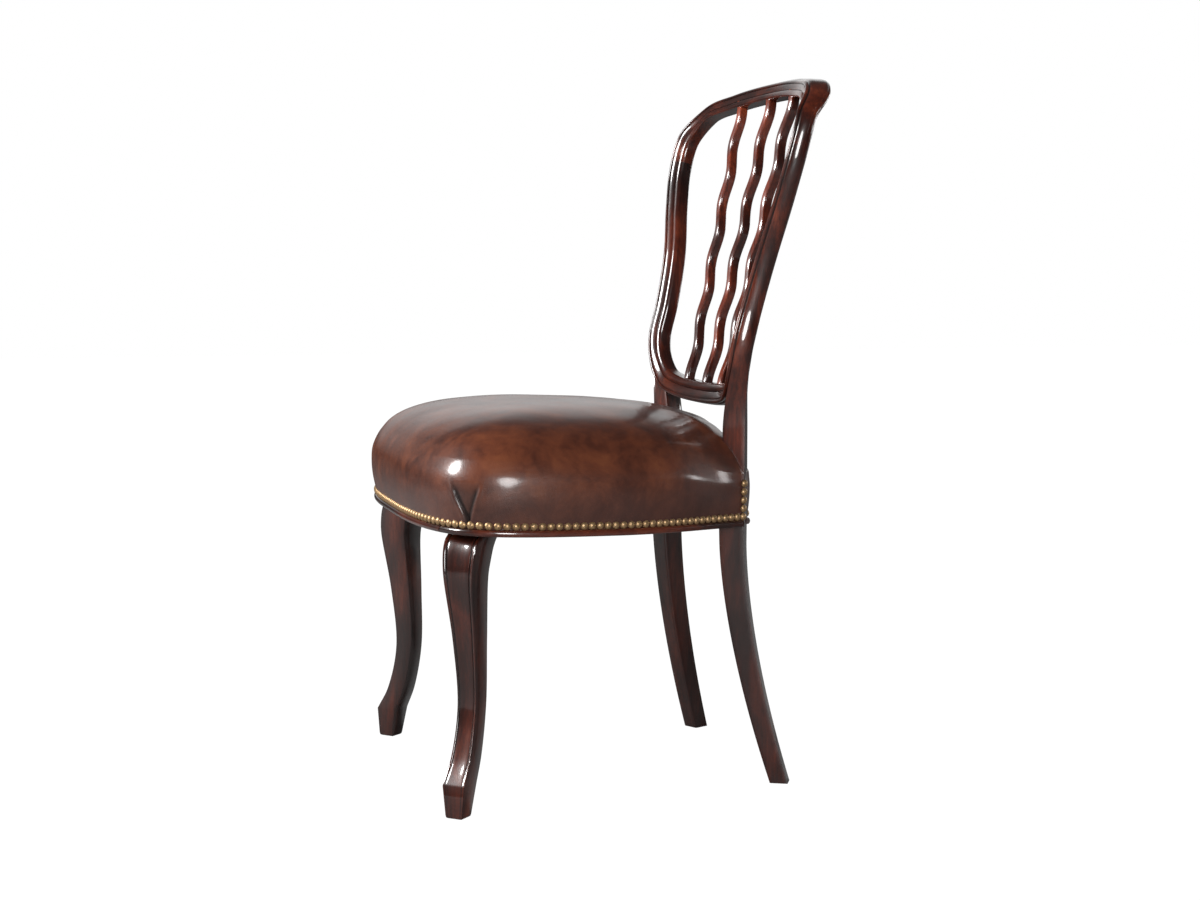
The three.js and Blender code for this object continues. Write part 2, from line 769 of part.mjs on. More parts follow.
function legBody() {
  const rings = [
    legRing(toeBottomKickLength, toeBottomSize, 0, toeCarveShare),
    legRing(toeKickLength, toeSize, toeHeight, toeCarveShare),
  ];
  for (let k = 1; k <= legSteps; k++) {
    const station = legStations.getPointAt(k / legSteps);
    rings.push(legRing(station.x, station.y, station.z, Math.min(1, k / 2)));
  }
  const flat = legSectionShares.map(([across, out, back]) => new THREE.Vector2(across, out - back));
  return solid(loft(rings, flat));
}

const legInSeat = inSeat(legBody());
const belowRails = boxBetween(
  [0, -wide, -nailLineHeight - cutOverrunLength],
  [wide, wide, -railBelowNailsHeight - fitGap],
);
const legBlock = seatPrism(railInset, -railBelowNailsHeight - fitGap, railAboveNailsHeight)
  .intersect(legBlockZone(-fitGap));
const legBlockLap = seatPrism(railInset, -railBelowNailsHeight - 2 * fitGap, 0)
  .intersect(legBlockZone(-fitGap));
const frontLeg = legInSeat.intersect(belowRails)
  .add(legBlock)
  .add(legInSeat.intersect(legBlockLap))
  .subtract(frontRailTenon(fitGap))
  .subtract(sideRailTenon(fitGap));

// Seat bead: a half-round strip on the rails, directly under the nails.

function beadRing(low, high, share) {
  const depth = beadProjectionDepth + railInset;
  const height = railBelowNailsHeight - beadDropHeight;
  const ends = [low, high].map((at) => beadSectionShares.map(([out, down]) => (
    seatPoint(at, 0)
      .addScaledVector(seatPlace(at).outward, out * depth - railInset + fitGap)
      .addScaledVector(upward, -beadDropHeight - down * height)
  )));
  return ends[0].map((point, k) => point.clone().lerp(ends[1][k], share));
}

function beadStrip(from, to) {
  const places = seatPlaces();
  const inner = places.filter((at) => at > from + mitreShare && at < to - mitreShare);
  const before = places.filter((at) => at <= from + mitreShare).pop();
  const after = places.find((at) => at >= to - mitreShare);
  const next = inner[0];
  const last = inner[inner.length - 1];
  const rings = [
    beadRing(before, next, (from - before) / (next - before)),
    ...inner.map((at) => beadRing(at, at, 0)),
    beadRing(last, after, (to - last) / (after - last)),
  ];
  const flat = beadSectionShares.map(([out, down]) => new THREE.Vector2(out, -down));
  return solid(loft(rings, flat)).subtract(bothPostRooms);
}

const beadRanges = [
  ['seat_bead_right', 0, cornerShare - mitreShare],
  ['seat_bead_front', cornerShare + mitreShare, 1 - rearShare - cornerShare - mitreShare],
  ['seat_bead_left', 1 - rearShare - cornerShare + mitreShare, 1 - rearShare],
  ['seat_bead_rear', 1 - rearShare + mitreShare, 1],
];
for (const [name, from, to] of beadRanges) {
  piece(name, beadStrip(from, to), mahogany(), seatGroup);
}

// Stuffed-over seat: the leather drawn down to the nails, with the pad inside it.

function cushionRings(skin, low) {
  const shoulderAt = (at) => lerp(postShoulderHeight, seatShoulderHeight, seatFreedom(at));
  const side = seatSideShares.map(([out, up]) => seatPlaces().map((at) => (
    seatPoint(at, out * seatBulgeWidth - skin).setZ(lerp(low, shoulderAt(at), up))
  )));
  const crown = seatCrownShares.map(([drawIn, up]) => seatPlaces().map((at) => (
    seatPoint(at, -skin, drawIn).setZ(lerp(shoulderAt(at), seatCrownHeight, up) - skin)
  )));
  return [...side, ...crown];
}

function cushion(skin, low) {
  const rings = cushionRings(skin, low);
  const flat = rings[0].map((point) => new THREE.Vector2(point.x, point.y));
  return solid(loft(rings, flat));
}

// Webbing woven over the rails: each strap runs over one crossing strap and under the next.

const webLift = railAboveNailsHeight + fitGap;
const webRise = webThickness + fitGap;

function strapGeometry(crossings, from, to, startsOver) {
  const flatHalf = webWidth / 2 + 2 * webThickness;
  const middles = [[from, 0]];
  crossings.forEach((place, k) => {
    const over = (k % 2 === 0) === startsOver ? webRise : 0;
    middles.push([place - flatHalf, over], [place + flatHalf, over]);
  });
  middles.push([to, 0]);
  const lower = middles.map(([x, up]) => new THREE.Vector2(x, up));
  const upper = middles.map(([x, up]) => new THREE.Vector2(x, up + webThickness)).reverse();
  const shape = new THREE.Shape([...lower, ...upper]);
  const strap = new THREE.ExtrudeGeometry(shape, { depth: webWidth, bevelEnabled: false });
  return strap.translate(0, 0, -webWidth / 2).rotateX(Math.PI / 2);
}

const longPlaces = longStrapShares.map((share) => share * webLongSpacing);
const crossMiddle = (seatFrontY + seatRearBowY) / 2 - railThickness;
const crossPlaces = crossStrapShares.map((share) => crossMiddle + share * webCrossSpacing);
const webFrom = seatFrontY + railThickness;
const webTo = seatRearBowY - railThickness;

longPlaces.forEach((x, k) => {
  const strap = strapGeometry(crossPlaces, webFrom, webTo, k % 2 === 0);
  strap.rotateZ(Math.PI / 2).translate(x, 0, webLift);
  piece(`webbing_long_${k + 1}`, solid(strap), jute(), seatGroup);
});
crossPlaces.forEach((y, k) => {
  const reach = sideRailMiddleX - railThickness - (k > 1 ? railThickness : 0);
  const strap = strapGeometry(longPlaces, -reach, reach, k % 2 === 1);
  strap.translate(0, y, webLift);
  piece(`webbing_cross_${k + 1}`, solid(strap), jute(), seatGroup);
});

const deckBottom = webLift + webRise + webThickness + fitGap;
const deckTop = deckBottom + hessianThickness;
const deck = seatPrism(hessianMarginWidth, deckBottom, deckTop).subtract(bothPostRooms);
piece('hessian_deck', deck, hessian(), seatGroup);

const padInside = cushion(leatherThickness + fitGap, -railBelowNailsHeight)
  .intersect(boxBetween([-wide, -wide, padSkirtHeight], [wide, wide, wide]));
const seatPad = padInside
  .subtract(seatPrism(railInset - fitGap, -wide, deckTop + fitGap))
  .subtract(bothPostRooms);
piece('seat_pad', seatPad, stuffing(), seatGroup);
const leatherCover = cushion(0, -coverHemHeight)
  .subtract(cushion(leatherThickness, -railBelowNailsHeight))
  .subtract(seatPrism(railInset - fitGap, -railBelowNailsHeight, deckTop))
  .subtract(bothPostRooms);

piece('leather_cover', leatherCover, leather(), seatGroup);

// Corner blocks glued and screwed inside the frame, notched round the legs and the posts.

const blockLow = -railBelowNailsHeight + blockLiftHeight;
const insideRails = seatPrism(railInset + railThickness + fitGap, blockLow, blockLow + blockHeight);

function triangleBlock(corner, alongX, alongY) {
  const shape = new THREE.Shape([
    new THREE.Vector2(corner.x, corner.y),
    new THREE.Vector2(corner.x - alongX, corner.y),
    new THREE.Vector2(corner.x, corner.y + alongY),
  ]);
  const block = new THREE.ExtrudeGeometry(shape, { depth: blockHeight, bevelEnabled: false });
  return solid(block.translate(0, 0, blockLow));
}

const frontBlockCorner = new THREE.Vector2(sideRailMiddleX, frontRailInner + fitGap);
const frontBlockX = sideRailMiddleX - legBlockX + frontBlockLength;
const frontBlockY = legBlockY - frontRailInner + frontBlockLength;
const frontBlock = triangleBlock(frontBlockCorner, frontBlockX, frontBlockY)
  .intersect(insideRails)
  .subtract(legBlockZone(fitGap));
const rearBlockCorner = new THREE.Vector2(seatRearX, rearRailInner - fitGap);
const rearBlockX = seatRearX - postX + postSeatSize + rearBlockLength;
const rearBlock = triangleBlock(rearBlockCorner, rearBlockX, -rearBlockX - rearBlockLength / 2)
  .intersect(insideRails)
  .subtract(postRoomInSeat);

// Black cloth tacked under the rails and cut away round the legs.
const cornerRoom = legInSeat.add(legBlockZone(fitGap));
const dustCloth = seatPrism(
  dustClothMarginWidth,
  -railBelowNailsHeight - fitGap - dustClothThickness,
  -railBelowNailsHeight - fitGap,
);
const dustClothCut = dustCloth
  .subtract(bothPostRooms)
  .subtract(cornerRoom)
  .subtract(mirrored(cornerRoom, -1));
piece('dust_cloth', dustClothCut, blackCloth(), seatGroup);

piece('front_rail', frontRail, frameWood(), seatGroup);
piece('rear_rail', rearRail, frameWood(), seatGroup);
const postMortises = inChair(rearRailTenon(fitGap).add(sideRearTenon(fitGap)));
for (const [name, side] of sides) {
  piece(`side_rail_${name}`, mirrored(sideRail, side), frameWood(), seatGroup);
  piece(`front_leg_${name}`, mirrored(frontLeg, side), mahogany(), seatGroup);
  piece(`front_corner_block_${name}`, mirrored(frontBlock, side), frameWood(), seatGroup);
  piece(`rear_corner_block_${name}`, mirrored(rearBlock, side), frameWood(), seatGroup);
  piece(`rear_post_${name}`, mirrored(postWithTenon.subtract(postMortises), side), mahogany());
}

group.position.y = -frontFeetToMiddle;

export default group;
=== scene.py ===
import math
from collections import namedtuple

import bmesh
import bpy
from mathutils import Matrix, Vector, noise


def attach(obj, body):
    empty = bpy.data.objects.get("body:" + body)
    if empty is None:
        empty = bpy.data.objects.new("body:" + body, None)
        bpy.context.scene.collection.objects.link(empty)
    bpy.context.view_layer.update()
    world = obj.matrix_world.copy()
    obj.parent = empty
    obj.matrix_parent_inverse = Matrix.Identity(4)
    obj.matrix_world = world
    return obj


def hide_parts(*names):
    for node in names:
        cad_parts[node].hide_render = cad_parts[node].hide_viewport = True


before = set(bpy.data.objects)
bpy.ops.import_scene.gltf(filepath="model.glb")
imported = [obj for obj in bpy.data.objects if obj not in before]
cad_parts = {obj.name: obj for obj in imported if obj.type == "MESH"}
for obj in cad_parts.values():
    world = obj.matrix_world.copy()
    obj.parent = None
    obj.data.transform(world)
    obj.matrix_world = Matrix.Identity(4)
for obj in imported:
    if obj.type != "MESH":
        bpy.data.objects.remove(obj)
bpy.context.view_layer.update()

# The photographer's view: from the sitter's left, a little in front of the chair and at the height
# of a seated person's head, with a moderately long lens.
scene = bpy.context.scene
scene.view_settings.view_transform = "Standard"
EYE = Vector((2.841, -0.779, 0.702))
EYE_TURN = math.radians(74.4)
EYE_TILT = math.radians(85.04)
LENS_LENGTH = 62.91
FILM_WIDTH = 36
camera = bpy.data.objects.new("camera", bpy.data.cameras.new("camera"))
camera.data.lens = LENS_LENGTH
camera.data.sensor_width = FILM_WIDTH
camera.location = EYE
camera.rotation_euler = (EYE_TILT, 0, EYE_TURN)
scene.collection.objects.link(camera)
scene.camera = camera


class Number:
    """A socket whose sums are written as Python arithmetic."""

    def __init__(self, finish, socket):
        self.finish = finish
        self.socket = socket

    def sum(self, operation, first, second):
        settings = {"operation": operation}
        return self.finish.node("ShaderNodeMath", settings, {0: first, 1: second})

    def __add__(self, other):
        return self.sum("ADD", self, other)

    def __sub__(self, other):
        return self.sum("SUBTRACT", self, other)

    def __rsub__(self, other):
        return self.sum("SUBTRACT", other, self)

    def __mul__(self, other):
        return self.sum("MULTIPLY", self, other)

    __radd__ = __add__
    __rmul__ = __mul__


class Finish:
    """The nodes of one material, or of the world's light."""

    def __init__(self, name, owner=None):
        self.owner = owner or bpy.data.materials.new(name)
        self.owner.use_nodes = True
        self.tree = self.owner.node_tree
        self.shader = self.tree.nodes.get("Principled BSDF")

    def node(self, kind, settings, values, output=0):
        made = self.tree.nodes.new(kind)
        for name, setting in settings.items():
            if name == "stops":
                ramp = made.color_ramp
                while len(ramp.elements) < len(setting):
                    ramp.elements.new(1)
                for element, (place, colour) in zip(ramp.elements, setting):
                    element.position = place
                    element.color = (*colour, 1)
            else:
                setattr(made, name, setting)
        for name, value in values.items():
            self.set(made.inputs[name], value)
        return Number(self, made.outputs[output])

    def set(self, socket, value):
        if isinstance(value, Number):
            self.tree.links.new(value.socket, socket)
        else:
            socket.default_value = value

    def surface(self, values):
        for name, value in values.items():
            self.set(self.shader.inputs[name], value)

    def clamp(self, value, low, high):
        """A soft step from 0 at low to 1 at high."""
        ends = {"Value": value, "From Min": low, "From Max": high}
        return self.node("ShaderNodeMapRange", {"interpolation_type": "SMOOTHSTEP"}, ends)

    def place(self, scale):
        """Where a point of the piece is, stretched for a pattern."""
        here = self.node("ShaderNodeTexCoord", {}, {}, "Object")
        return self.node("ShaderNodeMapping", {}, {"Vector": here, "Scale": scale})

    def noise(self, place, scale, detail=3.0, roughness=0.5, distortion=0.0):
        values = {"Vector": place, "Scale": scale, "Detail": detail, "Roughness": roughness}
        return self.node("ShaderNodeTexNoise", {}, {**values, "Distortion": distortion})

    def ramp(self, value, stops):
        return self.node("ShaderNodeValToRGB", {"stops": stops}, {"Fac": value})

    def mix(self, share, first, second):
        values = {0: share, 6: first, 7: second}
        return self.node("ShaderNodeMix", {"data_type": "RGBA"}, values, 2)

    def bump(self, height, depth, strength, normal=None):
        values = {"Height": height, "Distance": depth, "Strength": strength}
        if normal:
            values["Normal"] = normal
        return self.node("ShaderNodeBump", {}, values)

    def groove(self):
        """The mark of painted shade that a piece's skin carries in its grooves and creases."""
        return self.node("ShaderNodeAttribute", {"attribute_name": "groove"}, {}, "Fac")

    def height(self):
        """How high above the floor a point is."""
        here = self.node("ShaderNodeTexCoord", {}, {}, "Object")
        return self.node("ShaderNodeSeparateXYZ", {}, {"Vector": here}, 2)


# The studio: a seamless white floor and surround, one broad lamp in front of the chair, one beside
# the camera and two behind it. The world is a dim room with the white wall that the polish mirrors.
WHITE = (1.0, 1.0, 1.0, 1.0)
PAPER_GREY = (0.22, 0.22, 0.22, 1.0)
PAPER_GLOW = 1.16
PAPER_GLOW_SHARE = 0.88
FLOOR_REACH = 14.0

paper = Finish("studio_paper")
paper.surface({"Base Color": PAPER_GREY, "Roughness": 0.9})
paper_ray = paper.node("ShaderNodeLightPath", {}, {}, "Is Camera Ray")
paper_glow = paper.node("ShaderNodeEmission", {}, {"Color": WHITE, "Strength": PAPER_GLOW})
paper_lit = Number(paper, paper.shader.outputs[0])
paper_share = paper_ray * PAPER_GLOW_SHARE
paper_mix = paper.node("ShaderNodeMixShader", {}, {0: paper_share, 1: paper_lit, 2: paper_glow})
paper_out = paper.tree.nodes["Material Output"].inputs["Surface"]
paper.set(paper_out, paper_mix)

floor_mesh = bmesh.new()
bmesh.ops.create_grid(floor_mesh, x_segments=1, y_segments=1, size=FLOOR_REACH)
floor = bpy.data.objects.new("floor", bpy.data.meshes.new("floor"))
floor_mesh.to_mesh(floor.data)
floor.data.materials.append(paper.owner)
scene.collection.objects.link(floor)

WALL_LIGHT = 0.85
WALL_WAY = (-0.87, 0.5)
WALL_EDGE = (0.70, 0.96)
WALL_TOP = (0.3, 0.62)
WALL_FOOT = (-0.01, 0.10)
ROOM_LIGHT = 0.05
ROOM_DARK = 0.3
HORIZON_LIGHT = 0.055
HORIZON_FOOT = (0.0, 0.20)
HORIZON_TOP = (0.20, 0.45)
scene.world = bpy.data.worlds.new("studio")
room = Finish("studio", scene.world)
room_way = room.node("ShaderNodeTexCoord", {}, {}, "Generated")
room_split = room.node("ShaderNodeSeparateXYZ", {}, {"Vector": room_way})
room_x, room_y, room_z = [Number(room, part) for part in room_split.socket.node.outputs]
wall_side = room.clamp(room_x * WALL_WAY[0] + room_y * WALL_WAY[1], *WALL_EDGE)
wall_below = 1 - room.clamp(room_z, *WALL_TOP)
wall = wall_side * wall_below * room.clamp(room_z, *WALL_FOOT)
room_ray = room.node("ShaderNodeLightPath", {}, {}, "Is Camera Ray")
room_rise = room.clamp(room_z, *HORIZON_FOOT)
room_horizon = room_rise * (1 - room.clamp(room_z, *HORIZON_TOP)) * HORIZON_LIGHT
room_plain = (room_rise * (1 - ROOM_DARK) + ROOM_DARK) * ROOM_LIGHT
room_level = wall * (WALL_LIGHT - ROOM_LIGHT) + room_horizon + room_plain
room_seen = room_level * (1 - room_ray) + room_ray
room_back = room.tree.nodes["Background"]
room.set(room_back.inputs["Strength"], room_seen)
room_back.inputs["Color"].default_value = WHITE

LAMP_AIM = Vector((0, 0, 0.45))
LAMPS = (
    ("front_lamp", (-0.3, -3.2, 2.1), 1.4, 1.4, 215),
    ("eye_lamp", (3.3, -0.35, 0.95), 1.1, 1.4, 84),
    ("rear_lamp", (-1.5, 3.3, 1.0), 1.2, 1.2, 16),
    ("back_lamp", (0.50, 3.3, 0.76), 0.32, 0.44, 5.5),
)
for lamp_name, lamp_place, lamp_width, lamp_height, lamp_power in LAMPS:
    lamp = bpy.data.objects.new(lamp_name, bpy.data.lights.new(lamp_name, "AREA"))
    lamp.data.shape = "ELLIPSE"
    lamp.data.size = lamp_width
    lamp.data.size_y = lamp_height
    lamp.data.energy = lamp_power
    lamp.location = lamp_place
    lamp.rotation_euler = (LAMP_AIM - lamp.location).to_track_quat("-Z", "Y").to_euler()
    scene.collection.objects.link(lamp)


# Shield hoop: one mahogany moulding, worked on the stiles, the crest rail and the lower rail before
# they are glued up. It has a bead and a hollow on the front and a broad rounded outer edge.
FEET_TO_MIDDLE = 0.244
HOOP_HALF_WIDTH = 0.259
HOOP_BOTTOM = 0.515
HOOP_TOP = 0.965
STILE_DEPTH = 0.028
STILE_WIDTH = 0.022
CREST_DEPTH = 0.046
CREST_HEIGHT = 0.024
LOWER_RAIL_HEIGHT = 0.028
BACK_PLANE_Y = 0.4025 - FEET_TO_MIDDLE
BACK_BEND_HEIGHT = 0.586
BACK_BEND_SOFTNESS = 0.020
BACK_SLOPE = math.tan(math.radians(14.65))
BACK_RADIUS = 1.0
SHOULDER_JOINT = 0.868
LOWER_RAIL_JOINT = 0.140
LOWER_CORNER_TOP = 0.586
SWELL_START = 0.901
SWELL_END = 0.943
CREST_RISE = 0.21
CREST_CURL = 0.009
CREST_FACE = 0.6
CREST_TURN = (0.55, 0.95)
CURL_HEIGHTS = (0.905, 0.95)
INNER_SHARE = 0.35
STILE_THIN = 0.955
STILE_SWELL = 0.27
STILE_SWELL_TOP = 0.86
LOW_STILE_PROUD = 0.0028
LOW_STILE_HEIGHTS = (0.56, 0.80)
JOINT_GAP = 0.0002
HOOP_SHARES = (
    (0, 1), (0.5, 0.988), (0.82, 0.956), (0.978, 0.865), (0.99, 0.756), (0.923, 0.622),
    (0.807, 0.46), (0.748, 0.3), (0.738, 0.19), (0.688, 0.100), (0.585, 0.030), (0.41, 0.003),
)


def smoothstep(value, low, high):
    share = min(1, max(0, (value - low) / (high - low)))
    return share * share * (3 - 2 * share)


def mixed(first, second, share):
    return first + (second - first) * share


def evenly(points, count, closed=False):
    """Points at even distances along a line of many short straight steps."""
    run = points + points[:1] if closed else points
    reached = [0.0]
    for near, far in zip(run, run[1:]):
        reached.append(reached[-1] + (far - near).length)
    steps = count if closed else count - 1
    spaced, at = [], 0
    for k in range(count):
        goal = reached[-1] * k / steps
        while at < len(run) - 2 and reached[at + 1] < goal:
            at += 1
        span = max(reached[at + 1] - reached[at], 1e-12)
        spaced.append(run[at].lerp(run[at + 1], (goal - reached[at]) / span))
    return spaced


def curve_through(points, count, closed=False, fineness=24):
    """A smooth line through points, drawn like a batten bent round pins."""
    points = [Vector(point) for point in points]
    size = len(points)
    drawn = []
    for k in range(size if closed else size - 1):
        if closed:
            a, b, c, d = (points[(k + step) % size] for step in (-1, 0, 1, 2))
        else:
            b, c = points[k], points[k + 1]
            a = points[k - 1] if k else b * 2 - c
            d = points[k + 2] if k + 2 < size else c * 2 - b
        first, middle, last = ((q - p).length ** 0.5 for p, q in ((a, b), (b, c), (c, d)))
        leaving = (b - a) / first - (c - a) / (first + middle) + (c - b) / middle
        coming = (c - b) / middle - (d - b) / (middle + last) + (d - c) / last
        leaving, coming = leaving * middle, coming * middle
        for step in range(fineness):
            t = step / fineness
            drawn.append(
                b * (2 * t**3 - 3 * t**2 + 1) + leaving * (t**3 - 2 * t**2 + t)
                + c * (3 * t**2 - 2 * t**3) + coming * (t**3 - t**2)
            )
    if not closed:
        drawn.append(points[-1])
    return evenly(drawn, count, closed)


def arc(centre, radii, start, end, steps):
    """Points on part of an ellipse in a section: across, and back from the front face."""
    angles = [math.radians(mixed(start, end, k / steps)) for k in range(steps + 1)]
    (across, back), (wide, deep) = centre, radii
    return [(across + wide * math.cos(a), back - deep * math.sin(a)) for a in angles]


def back_point(x, z):
    """A point on the front surface of the back: upright below its bend, then raked, and bowed."""
    above = z - BACK_BEND_HEIGHT
    risen = (math.hypot(above, BACK_BEND_SOFTNESS) + above) / 2
    return Vector((x, BACK_PLANE_Y + BACK_SLOPE * risen - x * x / (2 * BACK_RADIUS), z))


def back_facing(x, z):
    """The way that the front surface of the back faces at a point."""
    above = z - BACK_BEND_HEIGHT
    slope = BACK_SLOPE * (above / math.hypot(above, BACK_BEND_SOFTNESS) + 1) / 2
    return Vector((-x / BACK_RADIUS, -1, slope)).normalized()


def close_ends(mesh):
    open_edges = [edge for edge in mesh.edges if edge.is_boundary]
    bmesh.ops.holes_fill(mesh, edges=open_edges)


def skin(rings, marks=((),)):
    """A closed skin over rings of points. One row of groove marks may serve all the rings."""
    around = len(rings[0]) + 1
    mesh = bmesh.new()
    bmesh.ops.create_grid(mesh, x_segments=around - 1, y_segments=len(rings) - 1, size=1)
    layer = mesh.verts.layers.float.new("groove")
    mesh.verts.ensure_lookup_table()
    for k, vert in enumerate(mesh.verts):
        row, column = k // around, k % around % (around - 1)
        vert.co = rings[row][column]
        vert[layer] = marks[row % len(marks)][column] if marks[0] else 0
    bmesh.ops.remove_doubles(mesh, verts=mesh.verts, dist=1e-6)
    close_ends(mesh)
    bmesh.ops.recalc_face_normals(mesh, faces=mesh.faces)
    return mesh


def piece(name, mesh, finish, nodes=(), crease=38):
    """A finished piece in the scene, smooth except where it turns by more than crease degrees."""
    for edge in mesh.edges:
        edge.smooth = edge.calc_face_angle(0) < math.radians(crease)
    for face in mesh.faces:
        face.smooth = True
    made = bpy.data.objects.new(name, bpy.data.meshes.new(name))
    mesh.to_mesh(made.data)
    mesh.free()
    made.data.materials.append(finish.owner)
    scene.collection.objects.link(made)
    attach(made, "root")
    if nodes:
        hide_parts(*nodes)
    return made


def cut(mesh, place, facing):
    """Takes away what lies on the side that facing points to, and closes the end."""
    whole = mesh.verts[:] + mesh.edges[:] + mesh.faces[:]
    bmesh.ops.bisect_plane(mesh, geom=whole, plane_co=place, plane_no=facing, clear_outer=True)
    close_ends(mesh)


def hoop_point(across, up):
    """A point of the shield's outline, from its shares of the half width and of the height."""
    return back_point(across * HOOP_HALF_WIDTH, mixed(HOOP_BOTTOM, HOOP_TOP, up))


HOOP_STEPS = 420
hoop_left = [hoop_point(across, up) for across, up in HOOP_SHARES]
hoop_right = [hoop_point(-across, up) for across, up in HOOP_SHARES[1:]]
hoop_line = curve_through(hoop_left + hoop_right[::-1], HOOP_STEPS, closed=True)


def hoop_frame(k):
    """Where the moulding's outer front corner is at a step, and its ways inward and back."""
    point = hoop_line[k % HOOP_STEPS]
    along = (hoop_line[(k + 1) % HOOP_STEPS] - hoop_line[k - 1]).normalized()
    facing = back_facing(point.x, point.z)
    inward = facing.cross(along).normalized()
    backward = along.cross(inward).normalized()
    if backward.dot(facing) > 0:
        backward.negate()
    middle = Vector((0, point.y, (HOOP_BOTTOM + HOOP_TOP) / 2))
    if inward.dot(middle - point) < 0:
        inward.negate()
    return point, inward, backward


def bulged(low, high, base, rise, steps):
    """The outer edge of the section: a shallow round from the rear corner to the bead's groove."""
    shares = [k / steps for k in range(steps + 1)]
    return [(-base - rise * (1 - (2 * s - 1) ** 2), mixed(high, low, s)) for s in shares]


FACE_SECTION = (
    arc((0.0023, 0.0023), (0.0023, 0.0023), 205, -10, 10)
    + [(0.0052, 0.0030), (0.0058, 0.0019), (0.0072, 0.0023), (0.0088, 0.0031), (0.0105, 0.0042)]
    + [(0.0120, 0.0054), (0.0129, 0.0062), (0.0134, 0.0078), (0.0141, 0.0066)]
    + arc((0.0145, 0.0140), (0.0075, 0.0078), 92, 0, 12)
    + [(0.0223, 0.0165), (0.0224, 0.0195), (0.0222, 0.0230)]
)
REAR_SECTION = (
    arc((0.0190, 0.0250), (0.0030, 0.0030), 0, -90, 4)
    + arc((0.0090, 0.0200), (0.0088, 0.0080), -90, -168, 8)
    + [(0.0000, 0.0212), (-0.0003, 0.0206)]
)
EDGE_SECTION = bulged(0.0062, 0.0204, 0.0006, 0.0013, 8) + [(0.0008, 0.0052), (0.0006, 0.0042)]
HOOP_SECTION = FACE_SECTION + REAR_SECTION + EDGE_SECTION
FACE_DEPTH = 0.0166
GROOVE_PLACES = (0.0052, 0.0134, 0.0008, 0.0006)
GROOVE_DEPTH = 0.008
# Painted shade in the moulding's grooves, near its front.
hoop_marks = [
    1.0 if across in GROOVE_PLACES and back < GROOVE_DEPTH else 0.0
    for across, back in HOOP_SECTION
]


def hoop_size(z):
    """Width and outer depth of the moulding, as shares of the stiles'."""
    corner = smoothstep(z, HOOP_BOTTOM, LOWER_CORNER_TOP)
    crown = smoothstep(z, SHOULDER_JOINT, HOOP_TOP)
    width = mixed(mixed(LOWER_RAIL_HEIGHT, STILE_WIDTH, corner), CREST_HEIGHT, crown)
    swell = smoothstep(z, SWELL_START, SWELL_END)
    stile = STILE_THIN + STILE_SWELL * (1 - smoothstep(z, HOOP_BOTTOM, STILE_SWELL_TOP))
    return width / STILE_WIDTH, mixed(stile, CREST_DEPTH / STILE_DEPTH, swell)


def section_point(k, across, back):
    """A point of the moulding's section, set on the hoop at one step of it."""
    point, inward, backward = hoop_frame(k)
    wide, deep = hoop_size(point.z)
    outer = 1 - min(1, max(0, across / STILE_WIDTH))
    if back < FACE_DEPTH:
        back *= mixed(1, CREST_FACE, smoothstep(-inward.z, *CREST_TURN))
    depth = back * mixed(1, deep, outer)
    rise = max(0, -inward.z) * CREST_RISE * depth * mixed(INNER_SHARE, 1, outer)
    curl = CREST_CURL * smoothstep(point.z, *CURL_HEIGHTS) * outer * max(0, 1 - back / STILE_DEPTH)
    proud = LOW_STILE_PROUD * (1 - smoothstep(point.z, *LOW_STILE_HEIGHTS)) - curl
    return point + inward * (across * wide - rise) + backward * (depth - proud)


def hoop_rings(first, last):
    return [[section_point(k, *place) for place in HOOP_SECTION] for k in range(first, last)]


GRAIN_STRETCH = 0.09
CLOUD_STRETCH = 0.35
MAHOGANY_STOPS = (
    (0.34, (0.0095, 0.0025, 0.0019)),
    (0.46, (0.0350, 0.0066, 0.0036)),
    (0.56, (0.1000, 0.0170, 0.0072)),
    (0.68, (0.2200, 0.0430, 0.0160)),
)
# Painted shade: the wood turns darker towards the floor, on the legs and posts under the seat.
LOW_PAINTED_SHADE = (0.010, 0.0045, 0.0038, 1)
LOW_PAINTED_SHADE_HEIGHTS = (0.52, 0.26)
PORE_BROWN = (0.008, 0.003, 0.0025, 1)
# Painted shade in the grooves and quirks.
GROOVE_PAINTED_SHADE = (0.004, 0.002, 0.0018, 1)


